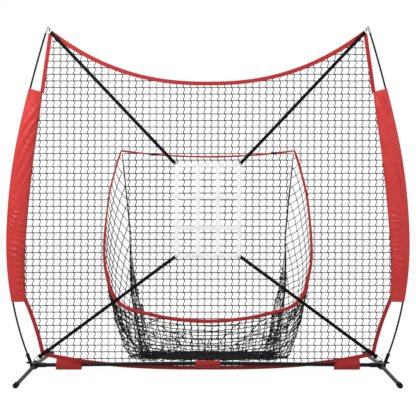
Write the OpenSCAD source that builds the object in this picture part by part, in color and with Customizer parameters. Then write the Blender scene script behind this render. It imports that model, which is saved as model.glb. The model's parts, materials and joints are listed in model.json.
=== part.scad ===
// Pitching target net: a steel base with four folding legs and two bowed fibreglass poles
// stretches a square-mesh net. A ball pocket hangs behind the mouth of the net, and a nine-cell
// strike-zone target hangs in front of it on four diagonal straps.
// Origin: on the floor, under the middle of the base bar. +X right, +Y back, +Z up. Millimetres.

/* [Base] */
// Distance from the middle to the leg pivots
pivot_x = 1051; // [1046:1:1056]
// Distance from the base bar to each leg pivot, front and back
pivot_y = 36; // [34:1:40]
// Distance from the base bar to the end of each leg
leg_reach = 500; // [420:10:560]
// Outer diameter of the leg tubes
leg_d = 22; // [20:1:22]
// Outer diameter of the base bar
bar_d = 23; // [22:0.5:23]
// Height of the base bar at the hubs
hub_z = 31; // [31:0.5:34]
// Rise of the base bar towards its middle
bar_rise = 12; // [8:1:14]

/* [Bow poles] */
// Outer diameter of the fibreglass poles
pole_d = 11; // [10:0.5:11.5]
// Outward lean of the poles where they leave the floor of their sockets, degrees
pole_lean = 22.3; // [21.8:0.1:22.6]
// Bend radius of the lower pole section
bend_low = 1900; // [1880:5:1930]
// Bend radius of the middle pole section
bend_mid = 3400; // [3350:50:3500]
// Bend radius of the upper pole section
bend_top = 8000; // [7500:100:8500]

/* [Net] */
// Half the distance between the two top corners of the net
net_top_x = 961; // [955:1:965]
// Height of the top corners
net_top_z = 2061; // [2055:1:2065]
// Height of the top hem at its lowest point
net_dip_z = 1748; // [1700:5:1800]
// Half the distance between the two bottom corners
net_low_x = 1008; // [1000:1:1012]
// Height of the bottom corners
net_low_z = 97; // [94:1:100]
// Width of a net cell as drawn
cell_w = 127; // [120:1:150]
// Height of a net cell as drawn
cell_h = 120; // [116:1:150]
// Width of a net cord as drawn
net_cord = 4; // [3:0.5:5]

/* [Target] */
// Half the outer width of the strike zone
target_x = 201; // [190:1:210]
// Heights of the four cross straps of the strike zone
target_rows = [697, 865, 1050, 1249];
// Width of the white webbing
target_web = 21; // [18:1:24]
// Width of the black webbing
strap_web = 20; // [18:1:22]

/* [Pocket] */
// Distance from the net to the back edge of the pocket on the ground
pocket_depth = 474; // [400:2:476]
// Half the width of the pocket at the back edge
pocket_low_x = 437; // [400:1:460]

/* [Hidden] */

$fn = 48;
fit = 0.05;          // running clearance of a pin in its hole
gap = 0.3;           // clearance of soft parts
steel = "#2b2c31";
red = "#c83c40";
web_black = "#1d1d1f";

// ---- heights through the layers, front to back -------------------------------------------
net_y = 17;          // middle of the net
net_t = 2.4;         // thickness of the net
hem_t = 4;           // thickness of the folded hems
web_t = 1.5;         // thickness of one layer of webbing
patch_t = 1.6;       // thickness of the corner patches, between straps and hems
upright_y = net_y - hem_t / 2 - patch_t - 3 * web_t;  // front face of the white uprights
crossbar_y = upright_y + web_t;
strap_y = crossbar_y + web_t;
pocket_y = net_y + hem_t / 2 + 0.2;

// ---- bow pole: three arcs ---------------------------------------------------------------
pole_base = [1077, 44, pole_lean];
section_len = [768, 700, 623];
bends = [bend_low, bend_mid, bend_top];
// A station is [x, z, lean]: place and outward lean of the pole's centre line.
function go_straight(p, s) = [p[0] + s * sin(p[2]), p[1] + s * cos(p[2]), p[2]];
function go_bend(p, r, s) =
  let (lean = p[2] - s / r * 180 / PI)
  [p[0] - r * cos(p[2]) + r * cos(lean), p[1] + r * sin(p[2]) - r * sin(lean), lean];
arc_start = [pole_base,
  go_bend(pole_base, bend_low, section_len[0]),
  go_bend(go_bend(pole_base, bend_low, section_len[0]), bend_mid, section_len[1])];
pole_top = go_bend(arc_start[2], bend_top, section_len[2]);
// Station at distance s along the pole
function pole_at(s) =
  s < section_len[0] ? go_bend(arc_start[0], bend_low, s)
  : s < section_len[0] + section_len[1] ? go_bend(arc_start[1], bend_mid, s - section_len[0])
  : go_bend(arc_start[2], bend_top, s - section_len[0] - section_len[1]);

// ---- side sleeve and the net edge sewn to it --------------------------------------------
sleeve_from = 390;   // distance along the pole to the sleeve's lower end
sleeve_to = 1700;
sleeve_steps = 20;
sleeve_w_end = 72;   // pole centre to net edge at the ends
sleeve_w_mid = 114;
function sleeve_s(i) = sleeve_from + (sleeve_to - sleeve_from) * i / sleeve_steps;
function sleeve_w(i) = sleeve_w_end + (sleeve_w_mid - sleeve_w_end) * pow(sin(180 * i / sleeve_steps), 0.75);
// A point beside the pole, u outwards from its centre line
function beside_pole(p, u) = [p[0] + u * cos(p[2]), p[1] - u * sin(p[2])];
function sleeve_edge(i) = beside_pole(pole_at(sleeve_s(i)), -sleeve_w(i));

// ---- outline of the net -----------------------------------------------------------------
hem_w = 20;
hem_dip = 10;        // inward bow of the lower side hems
function top_z(x) = net_dip_z + (net_top_z - net_dip_z) * pow(abs(x) / net_top_x, 2.32);
bottom_mid_z = 12;
function bottom_z(x) = bottom_mid_z + (net_low_z - bottom_mid_z) * pow(x / net_low_x, 2);
sleeve_low = sleeve_edge(0);
sleeve_high = sleeve_edge(sleeve_steps);
// Middle lines of the hems, right-hand side, each as a list of [x, z]
top_line = [for (i = [0:14]) let (x = net_top_x * i / 14) [x, top_z(x)]];
bottom_line = [for (i = [0:10]) let (x = net_low_x * i / 10) [x, bottom_z(x)]];
upper_line = [for (i = [0:3]) sleeve_high + ([net_top_x, net_top_z] - sleeve_high) * i / 3];
lower_line = [for (i = [0:5]) let (t = i / 5)
  [net_low_x, net_low_z] + (sleeve_low - [net_low_x, net_low_z]) * t - [hem_dip * 4 * t * (1 - t), 0]];
// Unit normals and offsets of a line, to its left as it runs
function unit(v) = v / norm(v);
function normal_at(line, i) =
  let (d = line[min(i + 1, len(line) - 1)] - line[max(i - 1, 0)]) unit([-d[1], d[0]]);
function beside(line, d) = [for (i = [0:len(line) - 1]) line[i] + normal_at(line, i) * d];
function back_to_front(list) = [for (i = [len(list) - 1:-1:0]) list[i]];
function mirrored(list) = [for (p = list) [-p[0], p[1]]];
function band(line, d0, d1) = concat(beside(line, d0), back_to_front(beside(line, d1)));
// Right edge of the net from the bottom middle to the top middle, d inside the hems' middle lines
function net_edge(d) = concat(
  [for (p = beside(bottom_line, d)) if (p[0] < net_low_x - d - 6) [max(p[0], 0), p[1]]],
  [for (p = beside(lower_line, d)) if (p[1] > net_low_z + d) p],
  [for (i = [1:sleeve_steps - 1]) sleeve_edge(i) - [max(0, d - hem_w / 2), 0]],
  [for (p = beside(upper_line, d)) if (p[1] < net_top_z - 2.2 * d - 6) p],
  [for (p = back_to_front(beside(top_line, -d))) if (p[0] < net_top_x - d - 4) [max(p[0], 0), p[1]]]);
function net_outline(d) = concat(net_edge(d), back_to_front(mirrored(net_edge(d))));

// ---- mouth: a smooth curve through its main points, right half, bottom to top ------------
mouth_points = [[0, 295], [220, 311], [370, 342], [500, 380], [578, 450], [612, 560],
  [634, 720], [608, 1035], [560, 1240], [528, 1337]];
mouth_top_x = 528;
mouth_top_z = 1337;
mouth_sag = 37;
function curve_between(a, b, c, d, t) = 0.5 * (2 * b + (c - a) * t
  + (2 * a - 5 * b + 4 * c - d) * t * t + (3 * b - a - 3 * c + d) * t * t * t);
function smooth(points, n) = let (last = len(points) - 1, first = [-points[1][0], points[1][1]])
  concat([for (i = [0:last - 1], k = [0:n - 1])
    curve_between(i == 0 ? first : points[i - 1], points[i], points[i + 1],
      points[min(i + 2, last)], k / n)], [points[last]]);
mouth_side = smooth(mouth_points, 3);
mouth_u = concat(back_to_front(mirrored(mouth_side)), [for (i = [1:len(mouth_side) - 1]) mouth_side[i]]);
function mouth_top(x) = mouth_top_z - mouth_sag * (1 - pow(x / mouth_top_x, 2));
mouth_lid = [for (i = [0:12]) let (x = mouth_top_x * (1 - i / 6)) [x, mouth_top(x)]];
trim_low = 11;       // half-width of the trim at the bottom of the mouth
trim_side = 7;
trim_top = 3.5;
function trim_half(z) = trim_side + (trim_low - trim_side) * max(0, min(1, (600 - z) / 250));
// The U of the trim, its outer or inner edge
function trim_edge(side) = [for (i = [0:len(mouth_u) - 1])
  mouth_u[i] - normal_at(mouth_u, i) * trim_half(mouth_u[i][1]) * side];
function lid_edge(side) = [for (p = mouth_lid) [p[0], p[1] + trim_top * side]];

// ---- building blocks --------------------------------------------------------------------
module both_sides() { children(); mirror([1, 0, 0]) children(); }
module at_side(side) { if (side > 0) children(); else mirror([1, 0, 0]) children(); }
// A flat piece in the plane of the net: y0 is its front face
module slab(y0, t) { translate([0, y0 + t, 0]) rotate([90, 0, 0]) linear_extrude(t) children(); }
module rod(x, r, len) { translate([x, 0, 0]) rotate([0, 90, 0]) cylinder(r = r, h = len); }
// Moves to a station of the pole and turns +Z along it
module at_station(p) { translate([p[0], 0, p[1]]) rotate([0, p[2], 0]) children(); }
// A tube that starts along +Z and bends towards -X
bend_steps = 12;
module bent_tube(bend, len, r_out, r_in) {
  turn = len / bend * 180 / PI;
  translate([-bend, 0, 0]) rotate([90, 0, 0]) rotate_extrude(angle = turn, $fn = ceil(360 / turn * bend_steps))
    translate([bend, 0]) difference() { circle(r_out, $fn = 48); circle(r_in, $fn = 48); }
}
module ring(radius, wire) { rotate_extrude() translate([radius, 0]) circle(wire, $fn = 24); }
// A thin closed sheet between a grid of points and the same grid moved by v; faces are triangles
module sheet(grid, v) {
  rows = len(grid);
  cols = len(grid[0]);
  flat = [for (row = grid) for (p = row) p];
  count = rows * cols;
  function id(r, c, side) = r * cols + c + side * count;
  function quad(a, b, c, d) = [[a, b, c], [a, c, d]];
  skin = [for (r = [0:rows - 2], c = [0:cols - 2])
    each concat(quad(id(r, c, 0), id(r, c + 1, 0), id(r + 1, c + 1, 0), id(r + 1, c, 0)),
      quad(id(r, c, 1), id(r + 1, c, 1), id(r + 1, c + 1, 1), id(r, c + 1, 1)))];
  ends = [for (c = [0:cols - 2])
    each concat(quad(id(0, c, 0), id(0, c, 1), id(0, c + 1, 1), id(0, c + 1, 0)),
      quad(id(rows - 1, c, 0), id(rows - 1, c + 1, 0), id(rows - 1, c + 1, 1), id(rows - 1, c, 1)))];
  edges = [for (r = [0:rows - 2])
    each concat(quad(id(r, 0, 0), id(r + 1, 0, 0), id(r + 1, 0, 1), id(r, 0, 1)),
      quad(id(r, cols - 1, 0), id(r, cols - 1, 1), id(r + 1, cols - 1, 1), id(r + 1, cols - 1, 0)))];
  polyhedron(concat(flat, [for (p = flat) p + v]), concat(skin, ends, edges));
}
// A tube of cloth: sections are closed rings of points, outer and inner, one pair per station
module cloth_tube(outer, inner) {
  steps = len(outer);
  n = len(outer[0]);
  count = steps * n;
  function o(i, k) = i * n + k % n;
  function q(i, k) = count + i * n + k % n;
  walls = [for (i = [0:steps - 2], k = [0:n - 1])
    each [[o(i, k), o(i + 1, k), o(i + 1, k + 1)], [o(i, k), o(i + 1, k + 1), o(i, k + 1)],
      [q(i, k), q(i + 1, k + 1), q(i + 1, k)], [q(i, k), q(i, k + 1), q(i + 1, k + 1)]]];
  rims = [for (k = [0:n - 1])
    each [[o(0, k), o(0, k + 1), q(0, k + 1)], [o(0, k), q(0, k + 1), q(0, k)],
      [o(steps - 1, k), q(steps - 1, k + 1), o(steps - 1, k + 1)],
      [o(steps - 1, k), q(steps - 1, k), q(steps - 1, k + 1)]]];
  polyhedron(concat([for (s = outer) each s], [for (s = inner) each s]), concat(walls, rims));
}

// ---- base bar: two straight halves that rise a little towards the coupler in the middle ------
bar_slope = atan(bar_rise / pivot_x);
bar_mid_z = hub_z + bar_rise;
coupler_half = 140;
coupler_r = bar_d / 2 - 1.5;
collar_half = 3;        // the collar keeps the two bar halves apart
coupler_button = 115;   // distances of the buttons along the bar, from its middle
hub_button = pivot_x - 48;
button_r = 3.2;
// Moves to the right-hand bar's centre line at distance s from the middle and turns +X along it
module at_bar(s) { translate([0, 0, bar_mid_z]) rotate([0, bar_slope, 0]) translate([s, 0, 0]) children(); }
module base_bar() color(steel) difference() {
  at_bar(collar_half + 0.3) rod(0, bar_d / 2, pivot_x - collar_half);
  at_bar(0) rod(0, coupler_r, pivot_x + 10);
  for (s = [coupler_button, hub_button]) at_bar(s) cylinder(r = button_r + 0.1, h = 20);
}
module bar_coupler() color("#8d8f94") difference() {
  union() {
    translate([0, 0, bar_mid_z]) rod(-collar_half, bar_d / 2, 2 * collar_half);
    both_sides() at_bar(1) rod(0, coupler_r - 0.1, coupler_half);
  }
  both_sides() {
    at_bar(collar_half + 1) rod(0, coupler_r - 2, coupler_half);
    at_bar(coupler_button) cylinder(r = button_r + 0.1, h = 20);
  }
}

// ---- hub: leg bracket, bar stub, pole socket, screw boss and strap eye --------------------
plate_t = 3;
plate_z = 13.5;      // the plates cut a little into the stub
plate_end = 16;
plate_chamfer = 12;
stub_r = 14;
stub_len = 84;       // length of the stub that receives the base bar
stub_floor = 17;     // solid end of the stub, at the web
web_x = pivot_x + 18;
stub_mid = web_x - stub_len / 2;
socket_len = 60;
socket_r = 10;
socket_floor = 8;
socket_mid = go_bend(pole_base, bend_low, socket_len / 2);
boss_z = hub_z + 15;
boss_from = pole_base[0] + (boss_z - pole_base[1]) * tan(pole_lean);
eye_x = 1056;        // staple on the top plate that takes the strap hook
eye_top = hub_z + 27;
eye_half = 9;
eye_wire = 2;
eye_arc = 220;       // the ends of the staple sit in the plate
hook_y = strap_y + web_t / 2;
bolt_r = 3;
plate_left = pivot_x - plate_end;
plate_half = pivot_y + plate_end;
module bracket_plate(z) translate([0, 0, z]) linear_extrude(plate_t) polygon([
  [web_x + plate_t, -plate_half], [web_x + plate_t, plate_half],
  [plate_left + plate_chamfer, plate_half], [plate_left, plate_half - plate_chamfer],
  [plate_left, plate_chamfer - plate_half], [plate_left + plate_chamfer, -plate_half]]);
module hub() color(steel) difference() {
  union() {
    bracket_plate(hub_z + plate_z);
    bracket_plate(hub_z - plate_z - plate_t);
    translate([web_x, -pivot_y * 1.4, hub_z - plate_z]) cube([plate_t, pivot_y * 2.8, 2 * plate_z]);
    at_bar(stub_mid) rod(-stub_len / 2, stub_r, stub_len + 1);
    at_station(socket_mid) {
      translate([0, 0, -socket_len / 2 - socket_floor]) cylinder(r = socket_r, h = socket_len + socket_floor);
      translate([0, 0, socket_len / 2 - 10]) cylinder(r = socket_r + 2, h = 10);
    }
    translate([0, 0, boss_z]) rod(boss_from, 6.5, 17);
    translate([eye_x, hook_y, eye_top - eye_half]) rotate([0, -90, 0]) rotate([0, 0, -eye_arc / 2])
      rotate_extrude(angle = eye_arc) translate([eye_half, 0]) circle(eye_wire, $fn = 24);
  }
  at_bar(stub_mid) rod(-stub_len / 2 - 1, bar_d / 2 + 0.1, stub_len - stub_floor + 1);
  at_station(socket_mid) translate([0, 0, -socket_len / 2 - 0.1]) cylinder(r = pole_d / 2 + 0.4, h = socket_len + 1);
  translate([0, 0, boss_z]) rod(boss_from, bolt_r + fit, 20);
  for (y = [-pivot_y, pivot_y]) translate([pivot_x, y, 0]) cylinder(r = bolt_r + 0.2, h = 80);
  at_bar(hub_button) cylinder(r = button_r + 0.1, h = 20);
}

// ---- spring buttons that lock the tubes ---------------------------------------------------
// A button stands on +Z with its flange and leaf spring inside a tube of bore radius r
module spring_button(r, height) color("silver") {
  translate([0, 0, r - 3]) cylinder(r = button_r, h = height - r + 3);
  translate([0, 0, height]) cylinder(r = button_r - 0.8, h = 0.6);
  translate([0, 0, r - 3.4]) cylinder(r = button_r + 1, h = 1.4);
  translate([-34, -3, r - 3.4]) cube([34, 6, 0.8]);
}
module hub_lock() at_bar(hub_button) spring_button(coupler_r, stub_r + 1.8);
module coupler_lock() at_bar(coupler_button) spring_button(coupler_r - 2, bar_d / 2 + 1.8);

// ---- legs: drawn for the back right, pivot at the origin, tube along +Y --------------------
leg_tail = 12;
foot_r = 15.5;
foot_z = 14.2;       // height of the leg's centre at its end, less than foot_r, so the foot has a flat
leg_drop = atan((hub_z - foot_z) / (leg_reach - pivot_y));
leg_len = (leg_reach - pivot_y) / cos(leg_drop) - 8;
cap_len = 46;
module at_leg(side, front) {
  at_side(side) mirror([0, front > 0 ? 1 : 0, 0]) translate([pivot_x, pivot_y, 0]) children();
}
module along_leg() { translate([0, 0, hub_z]) rotate([-90 - leg_drop, 0, 0]) children(); }
module leg_tube() color("#4a4b52") difference() {
  along_leg() translate([0, 0, -leg_tail]) cylinder(d = leg_d, h = leg_len + leg_tail);
  along_leg() translate([0, 0, -leg_tail - 1]) cylinder(d = leg_d - 3, h = leg_len + leg_tail + 2);
  cylinder(r = bolt_r + fit, h = 80);
}
module foot_cap() color("#18181a") difference() {
  along_leg() {
    translate([0, 0, leg_len - cap_len + 8]) cylinder(r = foot_r - 1.5, h = 6);
    translate([0, 0, leg_len - cap_len + 14]) cylinder(r = foot_r, h = cap_len - 9);
    translate([0, 0, leg_len + 5]) cylinder(r = foot_r - 1.5, h = 3);
  }
  along_leg() translate([0, 0, leg_len - cap_len]) cylinder(d = leg_d, h = cap_len);
  translate([-40, 0, -40]) cube([80, leg_reach + 100, 40]);
}
module four_pivots() {
  for (side = [-1, 1], front = [-1, 1]) at_leg(side, front) translate([0, 0, hub_z]) children();
}
bolt_top = plate_z + plate_t;
module pivot_bolts() color("silver") four_pivots() {
  translate([0, 0, -bolt_top - 6]) cylinder(r = bolt_r, h = 2 * bolt_top + 8);
  translate([0, 0, bolt_top]) cylinder(r = 5.8, h = 4, $fn = 6);
}
module pivot_nuts() color("silver") four_pivots() translate([0, 0, -bolt_top - 5]) difference() {
  cylinder(r = 5.8, h = 5, $fn = 6);
  translate([0, 0, -1]) cylinder(r = bolt_r, h = 7);
}
module pivot_washers() color("#d8d8d4") four_pivots() for (z = [plate_z - 1.9, -plate_z])
  translate([0, 0, z]) difference() {
    cylinder(r = 6.5, h = 1.9);
    translate([0, 0, -1]) cylinder(r = bolt_r + 0.2, h = 4);
  }

// ---- wing screw that clamps the pole in its socket ------------------------------------------
wing_x = boss_from + 17.5;
screw_tip = pole_d / 2 / cos(pole_lean) + 0.4;
module wing_screw() color("#3a3b40") translate([0, 0, boss_z]) {
  rod(boss_from + screw_tip + 1, bolt_r, 19);
  rod(wing_x, 5.5, 7);
  for (side = [-1, 1]) hull() {
    translate([wing_x + 3, side * 4, 0]) sphere(2, $fn = 16);
    translate([wing_x + 9, side * 10, 0]) sphere(2.4, $fn = 16);
  }
}

// ---- bow pole sections, ferrules and tips ---------------------------------------------------
pole_bore = pole_d / 2 - 2.5;
module pole_lower() color("#26262a")
  at_station(arc_start[0]) bent_tube(bend_low, section_len[0], pole_d / 2, pole_bore);
module pole_middle() color("#26262a")
  at_station(arc_start[1]) bent_tube(bend_mid, section_len[1], pole_d / 2, pole_bore);
module pole_upper() color("#26262a")
  at_station(arc_start[2]) bent_tube(bend_top, section_len[2], pole_d / 2, pole_bore);
ferrule_half = 40;
ferrule_r = pole_d / 2 + 1.5;
// A ferrule has the mean bend of the two sections that meet in it
module ferrule(joint) {
  bend = 2 / (1 / bends[joint - 1] + 1 / bends[joint]);
  at_station(go_bend(arc_start[joint], bend, -ferrule_half))
    bent_tube(bend, 2 * ferrule_half, ferrule_r, pole_d / 2 + 0.2);
}
module pole_ferrules() color("silver") both_sides() { ferrule(1); ferrule(2); }
tip_len = 40;
tip_r = 6.5;
tip_ring = 8;
ring_out = tip_ring + tip_r - 2;   // pole centre to the middle of the tip's ring
module pole_tips() color("silver") both_sides() at_station(pole_top) difference() {
  union() {
    translate([0, 0, -tip_len]) cylinder(r = tip_r, h = tip_len + 3);
    translate([0, 0, 3]) cylinder(r = tip_r - 1.5, h = 2);
    translate([-ring_out, 0, -6]) rotate([90, 0, 0]) ring(tip_ring, 2);
  }
  translate([0, 0, -tip_len - 1]) cylinder(r = pole_d / 2 + 0.3, h = tip_len + 1);
}

// ---- main net: one sheet of square mesh with the mouth left open ------------------------------
net_rim = 5;
module mesh_gaps(w, h, x_max, z_max) {
  nx = ceil(x_max / w);
  for (i = [-nx:nx - 1], k = [0:ceil(z_max / h)])
    translate([i * w + net_cord / 2, k * h + net_cord / 2]) square([w - net_cord, h - net_cord]);
}
module main_net() color("#3a3a3c") slab(net_y - net_t / 2, net_t) difference() {
  polygon(net_outline(hem_w / 2));
  both_sides() {
    polygon(upper_hem);
    polygon(lower_hem);
  }
  polygon(concat(trim_edge(1), lid_edge(1)));
  difference() {
    intersection() {
      mesh_gaps(cell_w, cell_h, pivot_x + 100, net_top_z);
      polygon(net_outline(hem_w / 2 + net_rim));
    }
    polygon(concat(
      [for (i = [0:len(mouth_u) - 1]) mouth_u[i] - normal_at(mouth_u, i) * (trim_half(mouth_u[i][1]) + net_rim)],
      [for (p = mouth_lid) [p[0], p[1] + trim_top + net_rim]]));
  }
}

// ---- hems, sleeves and trim ---------------------------------------------------------------------
hem_y = net_y - hem_t / 2;
full_top = concat(back_to_front(mirrored(top_line)), [for (i = [1:len(top_line) - 1]) top_line[i]]);
full_bottom = concat(back_to_front(mirrored(bottom_line)), [for (i = [1:len(bottom_line) - 1]) bottom_line[i]]);
module top_hem() color(red) slab(hem_y, hem_t) polygon(band(full_top, -hem_w / 2, hem_w / 2));
module bottom_hem() color(red) slab(hem_y, hem_t) polygon(band(full_bottom, -hem_w / 2, hem_w / 2));
// The side hems stop short of the corners, where the top and bottom hems cover them
upper_short = [for (i = [0:3]) let (t = 0.01 + 0.99 * i / 3)
  sleeve_high + ([net_top_x + 2, net_top_z - 22] - sleeve_high) * t];
lower_short = [for (i = [0:5]) let (t = 0.08 + 0.91 * i / 5)
  [net_low_x, net_low_z] + (sleeve_low - [net_low_x, net_low_z]) * t - [hem_dip * 4 * t * (1 - t), 0]];
upper_hem = band(upper_short, -hem_w / 2 + 1, hem_w / 2);
lower_hem = band(lower_short, -hem_w / 2 + 1, hem_w / 2);
module side_hems_upper() color(red) both_sides() slab(hem_y, hem_t) polygon(upper_hem);
module side_hems_lower() color(red) both_sides() slab(hem_y, hem_t) polygon(lower_hem);

cloth = 1.2;
sleeve_r = ferrule_r + 1.9;
wrap_angles = [-120, -80, -40, 0, 40, 80, 120];
// Section of the sleeve: round the pole, then drawn in to the seam on the net edge. [outwards, back]
function sleeve_section(w, r, seam, half) = concat(
  [for (a = wrap_angles) [r * cos(a), r * sin(a)]],
  [[-w * 0.55, net_y - 1 + half * 2.2], [-w + seam, net_y + half], [-w + seam, net_y - half],
    [-w * 0.55, 3 - half * 0.6]]);
function section_ring(i, r, seam, half) =
  let (p = pole_at(sleeve_s(i))) [for (q = sleeve_section(sleeve_w(i), r, seam, half))
    let (b = beside_pole(p, q[0])) [b[0], q[1], b[1]]];
module side_sleeve() color(red) cloth_tube(
  [for (i = [0:sleeve_steps]) section_ring(i, sleeve_r, 0, 2)],
  [for (i = [0:sleeve_steps]) section_ring(i, sleeve_r - cloth, 9, 0.5)]);

// A flat-sided ring of cloth round the base bar and a tongue sewn to the bottom hem
tab_len = 155;
tab_r = bar_d / 2 + 2.2;
tab_x = 846;
function stadium(r, z0, z1, n) = concat(
  [for (i = [0:n]) [r * cos(180 * i / n), z1 + r * sin(180 * i / n)]],
  [for (i = [0:n]) [-r * cos(180 * i / n), z0 - r * sin(180 * i / n)]]);
module bar_tab(x, z0, z1, seam0, seam1) {
  translate([x - tab_len / 2, 0, 0]) rotate([90, 0, 90]) linear_extrude(tab_len) {
    difference() {
      polygon(stadium(tab_r, z0, z1, 12));
      polygon(stadium(tab_r - cloth, z0, z1, 12));
    }
    translate([tab_r - cloth, seam0]) square([hem_y - tab_r + cloth, seam1 - seam0]);
  }
}
module bar_sleeves() color(red) {
  for (x = [-tab_x, tab_x]) bar_tab(x, 20, 47, 40, 76);
  bar_tab(0, 18, bar_mid_z + 2, 8, 44);
}
module mouth_trim() color(red) {
  slab(hem_y, hem_t) polygon(concat(trim_edge(1), back_to_front(trim_edge(-1))));
  slab(hem_y, hem_t) polygon(concat(lid_edge(1), back_to_front(lid_edge(-1))));
}
tie_places = [-332, 405];
module mouth_ties() color(web_black) for (x = tie_places)
  translate([x, net_y, mouth_top(x)]) rotate([0, 90, 0]) ring(6.2, 1.8);

// ---- black corner patches and the loops that hang on the pole tips ------------------------------
module corner_patches() color(web_black) both_sides() {
  translate([net_top_x - 24, hem_y - patch_t, net_top_z - 26]) cube([28, patch_t, 32]);
  translate([net_low_x - 9, hem_y - patch_t, net_low_z - 9]) cube([18, patch_t, 18]);
}
tip_hole = beside_pole(go_straight(pole_top, -6), -ring_out);
loop_r = 9;
module corner_loops() color(web_black) both_sides()
  translate([tip_hole[0] - 1, loop_r / 2, tip_hole[1] - loop_r + 1]) rotate([0, 90, 0]) ring(loop_r, 1.9);

// ---- pocket behind the mouth ----------------------------------------------------------------------
skin = 1.2;          // half the thickness of the pocket's panels
pocket_low_z = 17;
back_top_z = mouth_top_z - 14;
back_top_x = mouth_top_x - 4;
back_run = norm([pocket_depth, back_top_z - pocket_low_z]);
back_lean = atan(pocket_depth / (back_top_z - pocket_low_z));
// Half-width of the back panel at distance s up from the ground
function back_half(s) = pocket_low_x + (back_top_x - pocket_low_x) * s / back_run;
function back_shape(d) = [[-back_half(0) + d, d], [back_half(0) - d, d],
  [back_half(back_run) - d, back_run - d], [-back_half(back_run) + d, back_run - d]];
module pocket_back() color("#3a3a3c") translate([0, pocket_y + pocket_depth + skin, pocket_low_z])
  rotate([90 + back_lean, 0, 0]) linear_extrude(2 * skin) difference() {
    polygon(back_shape(4));
    intersection() {
      mesh_gaps(cell_w, cell_h * 4 / 3, back_top_x, back_run);
      polygon(back_shape(4 + net_rim));
    }
  }
seam_low = [pocket_low_x, pocket_y + pocket_depth, pocket_low_z];
seam_top = [back_top_x, pocket_y, back_top_z];
function along_seam(t) = seam_low + (seam_top - seam_low) * t;
side_count = 14;     // steps of the mouth's side, counted down from its top corner
last_side = len(mouth_side) - 1;
function mouth_back(k) = [mouth_side[k][0], pocket_y, mouth_side[k][1]];
// Rows run down the side panel, columns from the mouth to the back seam
side_grid = [for (i = [0:side_count / 2])
  let (k = last_side - (i == 0 ? 0.5 : i) * 2, m = mouth_back(floor(k)),
    s = along_seam(1 - (i == 0 ? 0.06 : 1) * i / (side_count / 2)))
  [for (c = [0:4]) m + (s - m) * c / 4]];
module pocket_side() color("#2c2c2e") translate([0.9, 0, 0]) sheet(side_grid, [2 * skin, 0, 0]);
// The floor falls from the U of the mouth to the ground and runs back to the seam
low_side = last_side - side_count;
floor_front = [for (k = [-low_side:2:low_side]) let (p = mouth_side[abs(k)])
  [p[0] * (k < 0 ? -1 : 1), p[1]]];
floor_steps = 8;
floor_grid = [for (i = [0:floor_steps]) let (t = i / floor_steps)
  [for (p = floor_front)
    let (x_low = p[0] / mouth_side[low_side][0] * (pocket_low_x - 3),
      slack = 1 - pow(p[0] / mouth_side[low_side][0], 2))
    [p[0] - sign(p[0]) * 3 + (x_low - p[0] + sign(p[0]) * 3) * t,
      pocket_y + 1 + (pocket_depth - 6) * t,
      pocket_low_z - 12 + (p[1] - pocket_low_z + 12) * pow(1 - t, 1 + 2.2 * slack)]]];
module pocket_floor() color("#2c2c2e") sheet(floor_grid, [0, 0, 2 * skin]);
module seam_cord(a, b, r) { hull() { translate(a) sphere(r, $fn = 12); translate(b) sphere(r, $fn = 12); } }
module pocket_seams() color(web_black) both_sides()
  seam_cord(along_seam(0.012), along_seam(0.985), 4);

// ---- strike-zone target ---------------------------------------------------------------------------
target_low = target_rows[0] - target_web / 2;
target_high = target_rows[3] + target_web / 2;
target_cols = [-target_x + target_web / 2, -61, 61, target_x - target_web / 2];
module target_uprights() color("#e9e9e9") for (x = target_cols)
  slab(upright_y, web_t) translate([x - target_web / 2, target_low]) square([target_web, target_high - target_low]);
module target_crossbars() color("#e9e9e9") for (z = target_rows)
  slab(crossbar_y, web_t) translate([-target_x, z - target_web / 2]) square([2 * target_x, target_web]);

// ---- diagonal straps, adjusters and hooks -----------------------------------------------------------
// A strap is drawn along +X from a corner of the target and then turned and placed
upper_from = [target_x - 8, target_high - 8];
upper_to = [net_top_x - 6, net_top_z - 6];
lower_from = [target_x - 8, target_low + 8];
lower_to = [eye_x, eye_top];
module along_line(a, b) {
  d = b - a;
  translate([a[0], 0, a[1]]) rotate([0, -atan2(d[1], d[0]), 0]) children();
}
tail_len = 70;       // loose end of the webbing, folded back past the adjuster
adjuster_at = 52;    // distance of the adjuster from the outer end of the strap
function strap_len(a, b) = norm(b - a);
module webbing(x0, x1, y0) { translate([x0, y0, -strap_web / 2]) cube([x1 - x0, web_t, strap_web]); }
module strap_upper() color(web_black) along_line(upper_from, upper_to) {
  webbing(0, strap_len(upper_from, upper_to), strap_y);
  webbing(strap_len(upper_from, upper_to) - tail_len, strap_len(upper_from, upper_to), strap_y - web_t);
}
hook_len = 44;       // from the hub's staple to the strap's fold
fold_r = 3.8;
wire_r = 1.9;
module strap_lower() color(web_black) along_line(lower_from, lower_to) {
  end = strap_len(lower_from, lower_to) - hook_len;
  difference() {
    union() {
      webbing(0, end, strap_y);
      webbing(end - tail_len, end, strap_y - web_t);
      translate([end, hook_y, -strap_web / 2]) cylinder(r = fold_r, h = strap_web);
    }
    translate([end, hook_y, -strap_web / 2 - 1]) cylinder(r = wire_r + gap, h = strap_web + 2);
  }
}
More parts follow.
